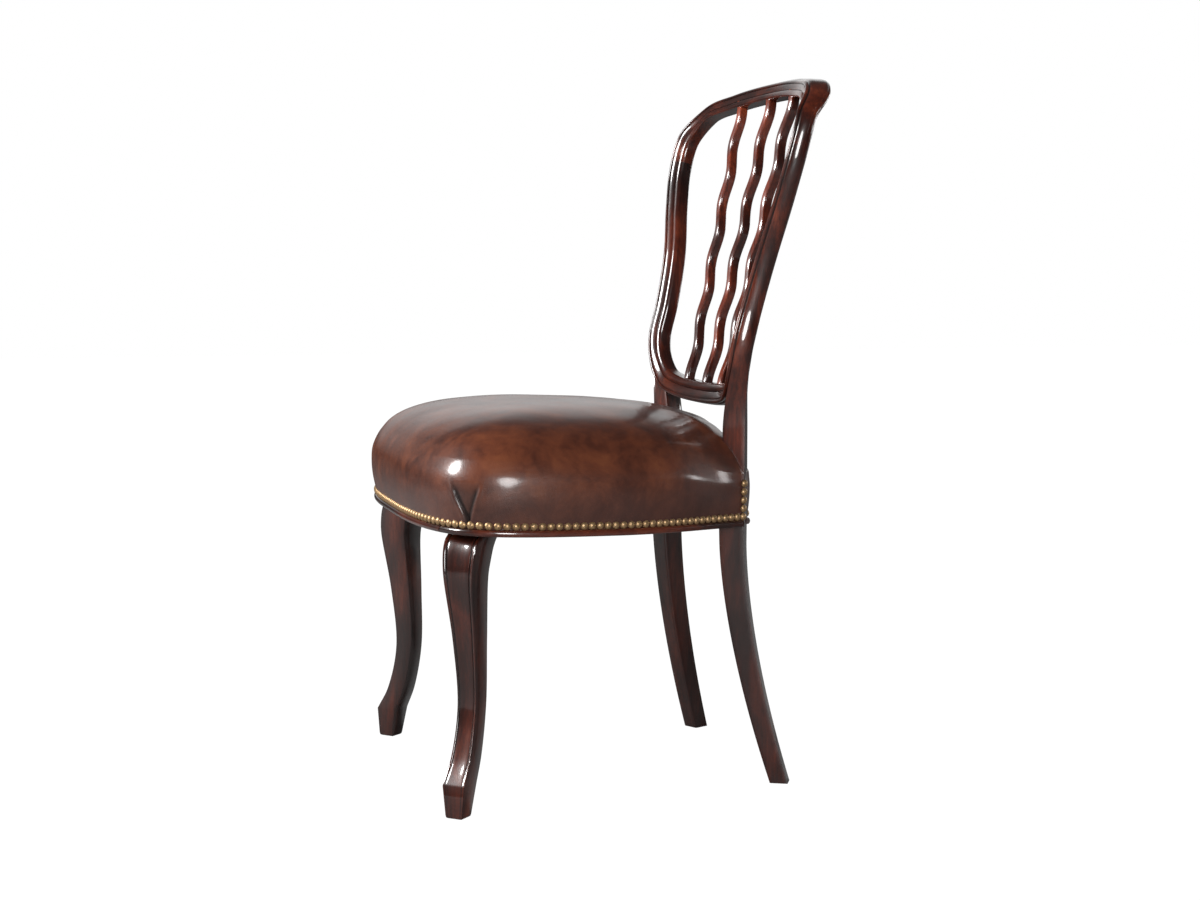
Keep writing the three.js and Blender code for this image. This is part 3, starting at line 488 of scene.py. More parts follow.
def mahogany(name, grain, tone_and_painted_light):
    """French polished mahogany with its grain along one axis, with painted shade in the hollows and
    low down.
    """
    finish = Finish(name)
    fine, loose = [1.0, 1.0, 1.0], [1.0, 1.0, 1.0]
    fine["XYZ".index(grain)] = GRAIN_STRETCH
    loose["XYZ".index(grain)] = CLOUD_STRETCH
    along = finish.place(fine)
    clouds = finish.noise(finish.place(loose), 16.0, detail=3.0, roughness=0.55, distortion=0.6)
    streaks = finish.noise(along, 260.0, detail=5.0, roughness=0.65)
    pores = finish.clamp(finish.noise(along, 1500.0, detail=2.0), 0.56, 0.68)
    stain = clouds * 0.72 + streaks * 0.28
    # The tone scales the wood's colour: its own shade, and on some copies painted light or painted
    # shade.
    stops = [(place, [part * tone_and_painted_light for part in shade]) for place, shade in MAHOGANY_STOPS]
    colour = finish.ramp(stain, stops)
    # Painted shade low down, where the legs and posts stand under the seat.
    low = finish.clamp(finish.height(), *LOW_PAINTED_SHADE_HEIGHTS)
    colour = finish.mix(low * 0.5, colour, LOW_PAINTED_SHADE)
    colour = finish.mix(pores * 0.45, colour, PORE_BROWN)
    # Painted shade in the grooves and at the legs' front corners, carried by the groove mark.
    colour = finish.mix(finish.groove() * 0.85, colour, GROOVE_PAINTED_SHADE)
    polish = finish.noise(finish.place((1, 1, 1)), 55.0, detail=2.0)
    finish.surface({
        "Base Color": colour,
        "Roughness": polish * 0.12 + 0.26,
        "Specular IOR Level": 0.3,
        "Coat Weight": 1.0,
        "Coat Roughness": 0.06,
        "Normal": finish.bump(streaks, 0.00025, 0.35),
    })
    return finish


# The lower rail gets a darker copy of the wood as painted shade, and the splats a lighter copy as
# painted light.
upright_wood = mahogany("mahogany_upright", "Z", tone_and_painted_light=0.85)
crossing_wood = mahogany("mahogany_crossing", "X", tone_and_painted_light=0.8)
lengthwise_wood = mahogany("mahogany_lengthwise", "Y", tone_and_painted_light=0.8)
rail_wood_painted_shade = mahogany("mahogany_rail_painted_shade", "X", tone_and_painted_light=0.5)
splat_wood_painted_light = mahogany("mahogany_splats_painted_light", "Z", tone_and_painted_light=1.6)


def first_step(start, passed):
    """The first step of the hoop, counted from start, that has passed a line."""
    return next(k for k in range(start, HOOP_STEPS) if passed(hoop_line[k]))


RAIL_LAP = 6
shoulder_step = first_step(0, lambda point: point.z < SHOULDER_JOINT)
corner_step = first_step(HOOP_STEPS // 4, lambda point: point.x < LOWER_RAIL_JOINT)

crest_rings = hoop_rings(-shoulder_step, shoulder_step + 1)
crest = skin(crest_rings, marks=[hoop_marks])
piece("crest", crest, crossing_wood, ["crest_rail"])

rail_rings = hoop_rings(corner_step - RAIL_LAP, HOOP_STEPS - corner_step + RAIL_LAP + 1)
rail = skin(rail_rings, marks=[hoop_marks])
cut(rail, (LOWER_RAIL_JOINT, 0, 0), (1, 0, 0))
cut(rail, (-LOWER_RAIL_JOINT, 0, 0), (-1, 0, 0))
piece("lower_rail", rail, rail_wood_painted_shade, ["lower_back_rail"])


# Rear posts: the sabre leg, the length beside the seat and the stile of the back, sawn from one
# plank. The leg is square and arrised, and the outer edge of the stile is rounded like the crest.
POST_X = 0.152
POST_Y = 0.407 - FEET_TO_MIDDLE
POST_FOOT = 0.025
POST_SEAT = 0.030
POST_SEAT_DEPTH = 0.036
POST_SHOULDER_DEPTH = 0.031
POST_TURN = math.radians(27)
SABRE_TURN = math.radians(29)
SABRE_HEIGHT = 0.330
SABRE_SPLAY = 0.064
SABRE_POWER = 1.65
NAIL_LINE_HEIGHT = 0.380
POST_STRAIGHT_TOP = 0.480
POST_JOINS_STILE = 0.604
POST_RING_STEP = 0.004
SIDE_STEPS = 10
ARRIS = 0.0016
ARRIS_ROUND = 0.3
STILE_STRAIGHT_FROM = 0.600
STILE_LAP = 8
SLANT_STEPS = 4
SIDES = (("left", 1), ("right", -1))


def bar_ring(outer, rear, inner, front):
    """A ring of even steps on each of four sides, so that one shape can turn into another."""
    ring = []
    for side in (outer, rear, inner, front):
        line = [Vector((across, back, 0)) for across, back in side]
        ring += evenly(line, SIDE_STEPS + 1)[:-1]
    return ring


def arrised(half, front, back):
    """A square bar's section with its corners taken off: outwards, and to the rear."""
    flat, near, far = half - ARRIS, front + ARRIS, back - ARRIS
    shaved = ARRIS * ARRIS_ROUND
    outer, before, behind = half - shaved, front + shaved, back - shaved
    return bar_ring(
        [(outer, before), (half, near), (half, far), (outer, behind)],
        [(outer, behind), (flat, back), (-flat, back), (-outer, behind)],
        [(-outer, behind), (-half, far), (-half, near), (-outer, before)],
        [(-outer, before), (-flat, front), (flat, front), (outer, before)],
    )


STILE_CORE = ((0.016, 0.028), (0.016, 0.009), (0.001, 0.009))
STILE_BODY = bar_ring(
    EDGE_SECTION[8::-1] + REAR_SECTION[:-6:-1],
    REAR_SECTION[-6:4:-1] + [STILE_CORE[0]],
    STILE_CORE[:2],
    STILE_CORE[1:],
)


def leg_ring(z):
    """The square post at one height: the sabre leg, and the length beside the seat."""
    rise = min(1, z / NAIL_LINE_HEIGHT)
    below = max(0, 1 - z / SABRE_HEIGHT) ** SABRE_POWER * SABRE_SPLAY
    thin = smoothstep(z, NAIL_LINE_HEIGHT, POST_STRAIGHT_TOP)
    half = mixed(POST_FOOT, POST_SEAT, rise) / 2
    depth = mixed(mixed(POST_FOOT, POST_SEAT_DEPTH, rise), POST_SHOULDER_DEPTH, thin)
    x = POST_X + below * math.sin(SABRE_TURN)
    y = POST_Y + below * math.cos(SABRE_TURN)
    turned = Matrix.Rotation(-POST_TURN, 4, "Z")
    square = arrised(half, half - depth, half)
    return [Vector((x, y, z)) + turned @ place for place in square]


straight_step = first_step(shoulder_step, lambda point: point.z <= STILE_STRAIGHT_FROM)


def stile_ring(k, drop=0.0):
    """The rounded outer part of the stile at one step of the hoop, or at a drop below it."""
    point = hoop_line[k]
    above = hoop_line[k - SLANT_STEPS]
    slant = (point.x - above.x) / (above.z - point.z)
    shift = back_point(point.x + slant * drop, point.z - drop) - point
    return [section_point(k, place.x, place.y) + shift for place in STILE_BODY]


post_rings = []
z = 0.0
while z < STILE_STRAIGHT_FROM:
    share = smoothstep(z, POST_STRAIGHT_TOP, POST_JOINS_STILE)
    legwise = leg_ring(z)
    if share:
        drop = STILE_STRAIGHT_FROM - z
        legwise = [a.lerp(b, share) for a, b in zip(legwise, stile_ring(straight_step, drop))]
    post_rings.append(legwise)
    z += POST_RING_STEP
post_rings += [stile_ring(k) for k in range(straight_step, shoulder_step - 1, -1)]


def mirror(mesh):
    """Turns a left piece into its right twin."""
    bmesh.ops.scale(mesh, vec=(-1, 1, 1), verts=mesh.verts)
    bmesh.ops.recalc_face_normals(mesh, faces=mesh.faces)


for side, sign in SIDES:
    post = skin(post_rings)
    post_mesh = bpy.data.meshes.new("post")
    post.to_mesh(post_mesh)
    post.free()
    stile = skin(hoop_rings(shoulder_step, corner_step + STILE_LAP), marks=[hoop_marks])
    cut(stile, (LOWER_RAIL_JOINT + JOINT_GAP, 0, 0), (-1, 0, 0))
    stile.from_mesh(post_mesh)
    bpy.data.meshes.remove(post_mesh)
    if sign < 0:
        mirror(stile)
    piece(f"rear_post_and_stile_{side}", stile, upright_wood, [f"rear_post_{side}"])


# Splats: three straight-grained bars, waved from side to side in step, with two facets that meet in
# a ridge at the front. Each is tenoned into the lower rail and the crest.
SPLAT_BOTTOM_SPACING = 0.074
SPLAT_TOP_SPACING = 0.107
SPLAT_WIDTH = 0.015
SPLAT_DEPTH = 0.0139
SPLAT_BACK = 0.0147
WAVE_LENGTH = 0.0835
WAVE_WIDTH = 0.0065
WAVE_CREST = 0.880
SPLAT_TENON = 0.004
SPLAT_BOTTOM = HOOP_BOTTOM + LOWER_RAIL_HEIGHT - SPLAT_TENON
SPLAT_TOP = HOOP_TOP - CREST_HEIGHT + SPLAT_TENON
SPLAT_RINGS = 190
SPLAT_CREASE = 30
SPLAT_SECTION = (
    (-0.46, -0.5), (0.46, -0.5), (0.5, -0.45), (0.5, 0.14), (0.492, 0.215), (0.462, 0.285),
    (0.40, 0.343), (0, 0.5), (-0.40, 0.343), (-0.462, 0.285), (-0.492, 0.215), (-0.5, 0.14),
    (-0.5, -0.45),
)

facing = back_facing(0, HOOP_TOP)
for side, place in (("left", 1), ("centre", 0), ("right", -1)):
    low = back_point(place * SPLAT_BOTTOM_SPACING, SPLAT_BOTTOM)
    high = back_point(place * SPLAT_TOP_SPACING, SPLAT_TOP)
    rings = []
    for k in range(SPLAT_RINGS + 1):
        centre = low.lerp(high, k / SPLAT_RINGS) + Vector((0, SPLAT_BACK, 0))
        wave = math.cos(2 * math.pi * (centre.z - WAVE_CREST) / WAVE_LENGTH)
        centre.x -= wave * WAVE_WIDTH
        rings.append([
            centre + Vector((across * SPLAT_WIDTH, 0, 0)) + facing * front * SPLAT_DEPTH
            for across, front in SPLAT_SECTION
        ])
    splat_nodes = [f"splat_{side}"]
    piece(f"wavy_splat_{side}", skin(rings), splat_wood_painted_light, splat_nodes, SPLAT_CREASE)


# Front legs: cabriole legs sawn and carved from the solid, set on the seat's diagonals. A bead runs
# down both edges of the front face with a hollow between them, and the toe is a small block.
ANKLE = Vector((0.224, 0.024 - FEET_TO_MIDDLE, 0))
LEG_TURN = math.radians(47)
LEG_RINGS = 110
LEG_STATIONS = (
    (0.0350, 0.0205, 0.0000), (0.0350, 0.0235, 0.0012), (0.0349, 0.0248, 0.0040),
    (0.0315, 0.0325, 0.042), (0.0145, 0.0295, 0.076),
    (0.0000, 0.0280, 0.140), (0.0040, 0.0335, 0.225), (0.0130, 0.0435, 0.308),
    (0.0108, 0.0466, 0.328), (0.0060, 0.0490, 0.346), (-0.0008, 0.0503, 0.357),
    (-0.0090, 0.0509, 0.3635), (-0.0115, 0.0500, 0.381),
)
# Half of the section, from the middle of its face to the middle of its back.
LEG_HALF = [
    (0.000, 0.455), (0.200, 0.462), (0.300, 0.474), (0.345, 0.470), (0.365, 0.445),
    (0.385, 0.445), (0.410, 0.480), (0.435, 0.497), (0.465, 0.500), (0.490, 0.480),
    (0.500, 0.440), (0.500, 0.000), (0.500, -0.440), (0.480, -0.480), (0.440, -0.500),
    (0.000, -0.500),
]
LEG_CORNER_PLACE = LEG_HALF.index((0.500, 0.440))
leg_other_half = [(-across, out) for across, out in LEG_HALF[-2:0:-1]]
LEG_SECTION = leg_other_half[-LEG_CORNER_PLACE:] + LEG_HALF + leg_other_half[:-LEG_CORNER_PLACE]
LEG_GROOVES = (0.365, 0.385)
LEG_CORNER = (0.48, 0.4)
LEG_CORNER_MARK = 0.6
LEG_FACE = 0.44
TOE_TOP = 0.040
CARVED_FROM = 0.075
leg_out = Vector((math.sin(LEG_TURN), -math.cos(LEG_TURN), 0))
leg_across = Vector((math.cos(LEG_TURN), math.sin(LEG_TURN), 0))


def leg_mark(across, out):
    """Painted shade: full in the grooves beside the two beads, and part of it at the front corners.
    """
    if abs(across) in LEG_GROOVES:
        return 1.0
    at_corner = abs(across) > LEG_CORNER[0] and out > LEG_CORNER[1]
    return LEG_CORNER_MARK if at_corner else 0.0


def leg_section(kick, size, height):
    """The leg's section at one station: plain at the toe, and carved above it."""
    centre = ANKLE + leg_out * kick + Vector((0, 0, height))
    carved = smoothstep(height, TOE_TOP, CARVED_FROM)
    ring = []
    for across, out in LEG_SECTION:
        if out > LEG_FACE:
            out = mixed(0.5, out, carved)
        ring.append(centre + leg_across * across * size + leg_out * out * size)
    return ring


leg_marks = [leg_mark(across, out) for across, out in LEG_SECTION]
leg_rings = [leg_section(*station) for station in LEG_STATIONS[:3]]
leg_rings += [leg_section(*station) for station in curve_through(LEG_STATIONS[3:], LEG_RINGS)]

for side, sign in SIDES:
    leg = skin(leg_rings, marks=[leg_marks])
    if sign < 0:
        mirror(leg)
    piece(f"cabriole_leg_{side}", leg, upright_wood, [f"front_leg_{side}"])


# Seat bead: a half-round mahogany strip glued to the rails directly under the nails, bent round the
# front corners, with a separate length across the back.
SEAT_DROP = math.radians(1.83)
SEAT_FRONT_Y = -0.038 - FEET_TO_MIDDLE
SEAT_CORNER = (0.268, 0.009 - FEET_TO_MIDDLE)
SEAT_SIDE = (0.270, 0.209 - FEET_TO_MIDDLE)
SEAT_REAR = (0.177, 0.409 - FEET_TO_MIDDLE)
REAR_INNER = (0.1454, 0.4272 - FEET_TO_MIDDLE)
REAR_BOW_Y = 0.437 - FEET_TO_MIDDLE
SIDE_POINTS = 1200
REAR_POINTS = 240
BEAD_TOP = -0.005
BEAD_HEIGHT = 0.009
BEAD_LEDGE = 0.0010
BEAD_ROUND = 0.0035
BEAD_STEP = 4
BEAD_CREASE = 50
MITRE_SHARE = 0.3349

# From the seat's own level frame, with its nail line at 0, to where the seat lies.
seat_tilt = Matrix.Translation((0, 0, NAIL_LINE_HEIGHT)) @ Matrix.Rotation(-SEAT_DROP, 4, "X")
seat_tilt = seat_tilt @ Matrix.Translation((0, FEET_TO_MIDDLE, 0))
seat_tilt = Matrix.Translation((0, -FEET_TO_MIDDLE, 0)) @ seat_tilt

seat_half = (SEAT_REAR, SEAT_SIDE, SEAT_CORNER)
side_places = [(-x, y, 0) for x, y in seat_half] + [(0, SEAT_FRONT_Y, 0)]
side_places += [(x, y, 0) for x, y in seat_half[::-1]]
side_line = curve_through(side_places, SIDE_POINTS, fineness=120)
rear_line = []
for k in range(REAR_POINTS):
    share = 2 * k / (REAR_POINTS - 1) - 1
    bow = (REAR_BOW_Y - REAR_INNER[1]) * (1 - share * share)
    rear_line.append(Vector((-REAR_INNER[0] * share, REAR_INNER[1] + bow, 0)))


def outward(line, k):
    """The level direction out of the seat at one point of its outline."""
    along = line[min(k + 1, len(line) - 1)] - line[max(k - 1, 0)]
    return Vector((along.y, -along.x, 0)).normalized()


bead_round = [math.radians(a) for a in range(15, 180, 15)]
bead_section = [(-BEAD_LEDGE, 0), (BEAD_LEDGE, 0)]
for a in bead_round:
    down = BEAD_HEIGHT / 2 - BEAD_HEIGHT / 2 * math.cos(a)
    bead_section.append((BEAD_LEDGE + BEAD_ROUND * math.sin(a), down))
bead_section += [(BEAD_LEDGE, BEAD_HEIGHT), (-BEAD_LEDGE, BEAD_HEIGHT)]


def bead_strip(line, first, last):
    rings = []
    for k in range(first, last, BEAD_STEP):
        way = outward(line, k)
        rings.append([
            seat_tilt @ (line[k] + way * out + Vector((0, 0, BEAD_TOP - down)))
            for out, down in bead_section
        ])
    return skin(rings)


mitre = int(SIDE_POINTS * MITRE_SHARE)
beads = (
    ("right", side_line, 0, mitre, lengthwise_wood),
    ("front", side_line, mitre, SIDE_POINTS - mitre, crossing_wood),
    ("left", side_line, SIDE_POINTS - mitre, SIDE_POINTS, lengthwise_wood),
    ("rear", rear_line, 0, REAR_POINTS, crossing_wood),
)
for side, line, first, last, wood in beads:
    strip = bead_strip(line, first, last)
    piece(f"bead_{side}", strip, wood, [f"seat_bead_{side}"], BEAD_CREASE)


# Seat frame: four planed beech rails, tenoned into the posts and the front legs, with a glued and
# screwed block in each corner. The leather, the bead and the dust cloth cover them.
BEECH_STOPS = (
    (0.35, (0.330, 0.200, 0.090)),
    (0.55, (0.430, 0.280, 0.140)),
    (0.70, (0.520, 0.360, 0.200)),
)
FLECK_BROWN = (0.24, 0.12, 0.05, 1)

beech = Finish("planed_beech")
beech_fine = beech.place((1, 0.12, 1))
beech_grain = beech.noise(beech_fine, 120.0, detail=4.0, roughness=0.6, distortion=0.4)
beech_flecks = beech.noise(beech.place((1, 0.3, 1)), 900.0, detail=2.0)
beech_flecks = beech.clamp(beech_flecks, 0.6, 0.7)
beech_colour = beech.ramp(beech_grain, BEECH_STOPS)
beech.surface({
    "Base Color": beech.mix(beech_flecks * 0.35, beech_colour, FLECK_BROWN),
    "Roughness": beech_grain * 0.2 + 0.45,
    "Normal": beech.bump(beech_grain, 0.0003, 0.3),
})
RAILS = ["front_rail", "rear_rail", "side_rail_left", "side_rail_right"]
BLOCKS = [f"{end}_corner_block_{side}" for end in ("front", "rear") for side, sign in SIDES]
for node_name in RAILS + BLOCKS:
    for material_slot in bpy.data.objects[node_name].material_slots:
        material_slot.material = beech.owner


# Webbing: seven jute straps, stretched over the rails and tacked. Each is woven over one crossing
# strap and under the next, and together they carry the stuffing.
WEB_WIDTH = 0.050
WEB_THICKNESS = 0.0020
WEB_HEIGHT = 0.0443
WEB_RISE = 0.0023
WEB_BEND = (0.027, 0.034)
WEB_LONG_PLACES = (-0.105, -0.035, 0.035, 0.105)
WEB_CROSS_MIDDLE = 0.1735 - FEET_TO_MIDDLE
WEB_CROSS_SPACING = 0.105
WEB_CROSS_PLACES = [WEB_CROSS_MIDDLE + WEB_CROSS_SPACING * k for k in (-1, 0, 1)]
WEB_FRONT = -0.012 - FEET_TO_MIDDLE
WEB_REAR = 0.411 - FEET_TO_MIDDLE
WEB_REACHES = (0.254, 0.254, 0.228)
WEB_RINGS = 90
WEB_SECTION = (
    (-0.5, 0.3), (-0.5, 0.7), (-0.48, 1.0), (0.0, 1.0), (0.48, 1.0), (0.5, 0.7), (0.5, 0.3),
    (0.48, 0.0), (0.0, 0.0), (-0.48, 0.0),
)


def woven(name, dark, light, threads):
    """Plain woven cloth: threads over and under, with slubs in the yarn."""
    finish = Finish(name)
    here = finish.place((1, 1, 1))
    settings = {"wave_type": "BANDS", "bands_direction": "X"}
    values = {"Vector": here, "Scale": threads, "Distortion": 0.6}
    values.update({"Detail": 1.0, "Detail Scale": 0.4})
    warp = finish.node("ShaderNodeTexWave", settings, values)
    weft = finish.node("ShaderNodeTexWave", {**settings, "bands_direction": "Y"}, values)
    slubs = finish.noise(here, 180.0, roughness=0.6)
    relief = warp * 0.5 + weft * 0.5
    shade = relief * 0.6 + slubs * 0.4
    finish.surface({
        "Base Color": finish.ramp(shade, ((0.25, dark), (0.75, light))),
        "Roughness": slubs * 0.1 + 0.85,
        "Normal": finish.bump(relief, 0.0005, 0.6),
    })
    return finish


jute = woven("jute_webbing", (0.19, 0.115, 0.045), (0.50, 0.36, 0.19), threads=130.0)


def strap(places, ends, over_evens, centre, lengthwise):
    """One strap along its centre line, as it rises over or dips under the straps at places."""
    rings = []
    for k in range(WEB_RINGS + 1):
        along = mixed(ends[0], ends[1], k / WEB_RINGS)
        nearest = min(range(len(places)), key=lambda n: abs(places[n] - along))
        over = (nearest % 2 == 0) == over_evens
        lift = 1 - smoothstep(abs(places[nearest] - along), *WEB_BEND) if over else 0
        ring = []
        for wide, thick in WEB_SECTION:
            across = centre + wide * WEB_WIDTH
            up = WEB_HEIGHT + WEB_RISE * lift + thick * WEB_THICKNESS
            spot = (across, along, up) if lengthwise else (along, across, up)
            ring.append(seat_tilt @ Vector(spot))
        rings.append(ring)
    return skin(rings)


for k, x in enumerate(WEB_LONG_PLACES):
    web = strap(WEB_CROSS_PLACES, (WEB_FRONT, WEB_REAR), k % 2 == 0, x, True)
    piece(f"jute_strap_long_{k + 1}", web, jute, [f"webbing_long_{k + 1}"])
for k, y in enumerate(WEB_CROSS_PLACES):
    ends = (-WEB_REACHES[k], WEB_REACHES[k])
    web = strap(WEB_LONG_PLACES, ends, k % 2 == 1, y, False)
    piece(f"jute_strap_cross_{k + 1}", web, jute, [f"webbing_cross_{k + 1}"])


# Hessian and dust cloth: an open-weave sheet stretched over the webbing to hold the stuffing, and a
# black cloth tacked under the rails to hide the inside. Both are cut away round the posts, and the
# dust cloth round the front legs too.
SHEET_THICKNESS = 0.0010
HESSIAN_HEIGHT = 0.0491
HESSIAN_MARGIN = 0.009
DUST_HEIGHT = -0.0155
DUST_MARGIN = 0.013
DUST_SAG = 0.0025
SHEET_RINGS = 16
SHEET_HOLE = 0.01
EDGE_STEP = 3
EDGE_DRAWN_IN = 0.004
POST_MIDDLE = Vector((POST_X, POST_Y - 0.003, 0))
POST_ROOM = 0.0195
LEG_BLOCK_BACK = 0.0093
LEG_ROOM = 0.033
SHEET_MIDDLE = Vector((0, 0.200 - FEET_TO_MIDDLE, 0))


def in_the_way(spot, legs_too):
    """Whether a post, or a front leg, stands where the cloth would be."""
    spot = Vector((abs(spot.x), spot.y, 0))
    from_post = Matrix.Rotation(POST_TURN, 3, "Z") @ (spot - POST_MIDDLE)
    if max(abs(from_post.x), abs(from_post.y)) < POST_ROOM:
        return True
    from_leg = spot - (ANKLE - leg_out * LEG_BLOCK_BACK)
    away = max(abs(from_leg.dot(leg_out)), abs(from_leg.dot(leg_across)))
    return legs_too and away < LEG_ROOM


def cloth_edge(margin, legs_too):
    """The seat's outline less a margin, drawn in wherever a post or a leg is in the way."""
    edge = []
    for line in (side_line, rear_line):
        for k in range(0, len(line), EDGE_STEP):
            spot = line[k] - outward(line, k) * margin
            while in_the_way(spot, legs_too):
                spot = spot.lerp(SHEET_MIDDLE, EDGE_DRAWN_IN)
            edge.append(spot)
    return edge


def cloth_rings(edge, height, sag):
    """A thin sheet, from its middle to its edge and back."""
    shares = [mixed(SHEET_HOLE, 1, k / SHEET_RINGS) for k in range(SHEET_RINGS + 1)]
    rings = []
    for face, order in ((0, shares), (SHEET_THICKNESS, shares[::-1])):
        for share in order:
            up = height + face - sag * (1 - share * share)
            rings.append([
                seat_tilt @ (SHEET_MIDDLE.lerp(spot, share) + Vector((0, 0, up))) for spot in edge
            ])
    return rings


def cloth_size(edge):
    pairs = zip(edge, edge[1:] + edge[:1])
    area = abs(sum(a.x * b.y - b.x * a.y for a, b in pairs)) / 2


hessian = woven("hessian", (0.13, 0.080, 0.034), (0.38, 0.27, 0.14), threads=210.0)
black_cloth = woven("black_cloth", (0.006, 0.006, 0.006), (0.020, 0.019, 0.019), threads=420.0)
hessian_edge = cloth_edge(HESSIAN_MARGIN, False)
hessian_rings = cloth_rings(hessian_edge, HESSIAN_HEIGHT, 0)
deck = piece("hessian_sheet", skin(hessian_rings), hessian, ["hessian_deck"])
cloth_size(hessian_edge)
dust_edge = cloth_edge(DUST_MARGIN, True)
dust_rings = cloth_rings(dust_edge, DUST_HEIGHT, DUST_SAG)
dust = piece("dust_cloth_sheet", skin(dust_rings), black_cloth, ["dust_cloth"])
cloth_size(dust_edge)


# Leather cover: one hide drawn over the stuffing and down to the rails. It has a pleat folded under
# at each front corner, is gathered along the back edge, and is cut round the posts.
TUCK_PLACE = 0.2815
TUCK_HEIGHT = 0.054
TUCK_FINE = 0.050
TUCK_SLANTS = (0.0190, -0.0150)
TUCK_MOUTHS = (0.0012, -0.0003)
TUCK_SLANT_FROM = (-0.05, 1.1)
TUCK_CLOSES = (0.72, 1.05)
TUCK_SOFT = (-0.0026, 0.0034)
TUCK_DEPTH = 0.0027
TUCK_SHADE = 0.45
CREASE_DEPTH = 0.0017
LEFT_CREASE = (0.0012, 0.0028, 1)
RIGHT_CREASE = (-0.0012, 0.0024, 0.7)
RIM_LIFT = 0.0011
LEFT_RIM = (-0.0038, 0.0030, 1)
RIGHT_RIM = (0.0032, 0.0032, 0.4)
GATHER_SPACING = 0.044
GATHER_HEIGHT = 0.0075
GATHER_SHARPNESS = 0.75
GATHER_MIDDLE = 0.7
GATHER_FROM = (0.118, 0.162)
GATHER_UP = (0.050, 0.085)
GATHER_SIDES = (0.125, 0.155)
GATHER_BACK = 0.15
GATHER_LEAN = 0.25
GATHER_WANDER = (0.006, 31)
GATHER_SHADE = 2.4
WAVER = 0.0007
WAVER_FINENESS = 16
SEAT_BULGE = 0.010
BULGE_AT_POST = 0.2
SHOULDER_UP = 0.084
SHOULDER_UP_AT_POST = 0.058
CROWN_UP = 0.148
CROWN_Y = 0.225 - FEET_TO_MIDDLE
CROWN_REACH = 0.25
HEM = -0.0047
LEATHER_THICKNESS = 0.0018
PROFILE_POINTS = 1200
PROFILE_TURN = 0.012
SIDE_RINGS = 66
CROWN_RINGS = 64
FREE_OF_POST = 0.1
FREE_OF_POST_REAR = 0.5
SIDE_STEP = 3
REAR_STEP = 2
INSIDE_STEP = 6
COVER_CREASE = 70
SIDE_SHARES = ((0, 0), (0.45, 0.16), (0.85, 0.36), (1, 0.56), (0.9, 0.74), (0.4, 0.9))
CROWN_SHARES = (
    (0.025, 0.13), (0.06, 0.30), (0.115, 0.47), (0.19, 0.62), (0.31, 0.77), (0.5, 0.90),
    (0.72, 0.975), (0.97, 1.0),
)


def cover_profile(shoulder):
    """Out or in, and up, from the hem to the crown: closer together on the side than on top."""
    keys = [(out * SEAT_BULGE, mixed(HEM, shoulder, up), 0) for out, up in SIDE_SHARES]
    keys += [
        (-drawn * CROWN_REACH, mixed(shoulder, CROWN_UP, up), 0) for drawn, up in CROWN_SHARES
    ]
    fine = curve_through(keys, PROFILE_POINTS)
    turn = next(k for k, key in enumerate(fine) if key.y > shoulder + PROFILE_TURN)
    return evenly(fine[:turn], SIDE_RINGS) + evenly(fine[turn:], CROWN_RINGS)


free_profile = cover_profile(SHOULDER_UP)
post_profile = cover_profile(SHOULDER_UP_AT_POST)
COVER_RINGS = len(free_profile)


def line_length(line):
    return sum((b - a).length for a, b in zip(line, line[1:]))


# Each place round the cover: its point, its way out, how free of the posts it is, how far round
# from the middle of its line it lies, and whether it is at the rear.
Place = namedtuple("Place", "point way free far at_rear")
cover_line = []
cover_lines = ((side_line, FREE_OF_POST, SIDE_STEP), (rear_line, FREE_OF_POST_REAR, REAR_STEP))
for line, release, step in cover_lines:
    length = line_length(line)
    for k in range(len(line)):
        from_post = min(k, len(line) - 1 - k) / (len(line) - 1)
        far = (k / (len(line) - 1) - 0.5) * length
        near_tuck = line is side_line and abs(abs(far) - TUCK_PLACE) < TUCK_FINE
        if k % step == 0 or near_tuck:
            free = smoothstep(from_post, 0, release)
            cover_line.append(Place(line[k], outward(line, k), free, far, line is rear_line))

crown = Vector((0, CROWN_Y, 0))


def profile_point(j, free):
    """One point of the cover's profile, between the one at a post and the free one."""
    j = min(COVER_RINGS - 1, max(0, j))
    return post_profile[j].lerp(free_profile[j], free)


def cover_point(place, j):
    """One point of the stuffed seat in its own level frame, before its folds."""
    key = profile_point(j, place.free)
    if key.x > 0:
        spot = place.point + place.way * key.x * mixed(BULGE_AT_POST, 1, place.free)
    else:
        spot = place.point.lerp(crown, -key.x / CROWN_REACH)
    return Vector((spot.x, spot.y, key.y))


def ridge(distance, place, width, share):
    """A soft ridge across the pleat, highest at its place."""
    return share * math.exp(-(((distance - place) / width) ** 2))


def tuck(off, up):
    """The pleat folded under at a front corner: how far it lies out or sinks into a crease, and how
    much painted shade it gets.
    """
    share = up / TUCK_HEIGHT
    closing = 1 - smoothstep(share, *TUCK_CLOSES)
    left = off + TUCK_MOUTHS[0] + TUCK_SLANTS[0] * smoothstep(share, *TUCK_SLANT_FROM)
    right = off + TUCK_MOUTHS[1] + TUCK_SLANTS[1] * share
    within = smoothstep(left, *TUCK_SOFT) * smoothstep(-right, *TUCK_SOFT)
    crease = ridge(left, *LEFT_CREASE) + ridge(right, *RIGHT_CREASE)
    rim = ridge(left, *LEFT_RIM) + ridge(right, *RIGHT_RIM)
    lift = RIM_LIFT * rim - CREASE_DEPTH * crease - TUCK_DEPTH * within
    return lift * closing, min(1, crease + TUCK_SHADE * within) * closing


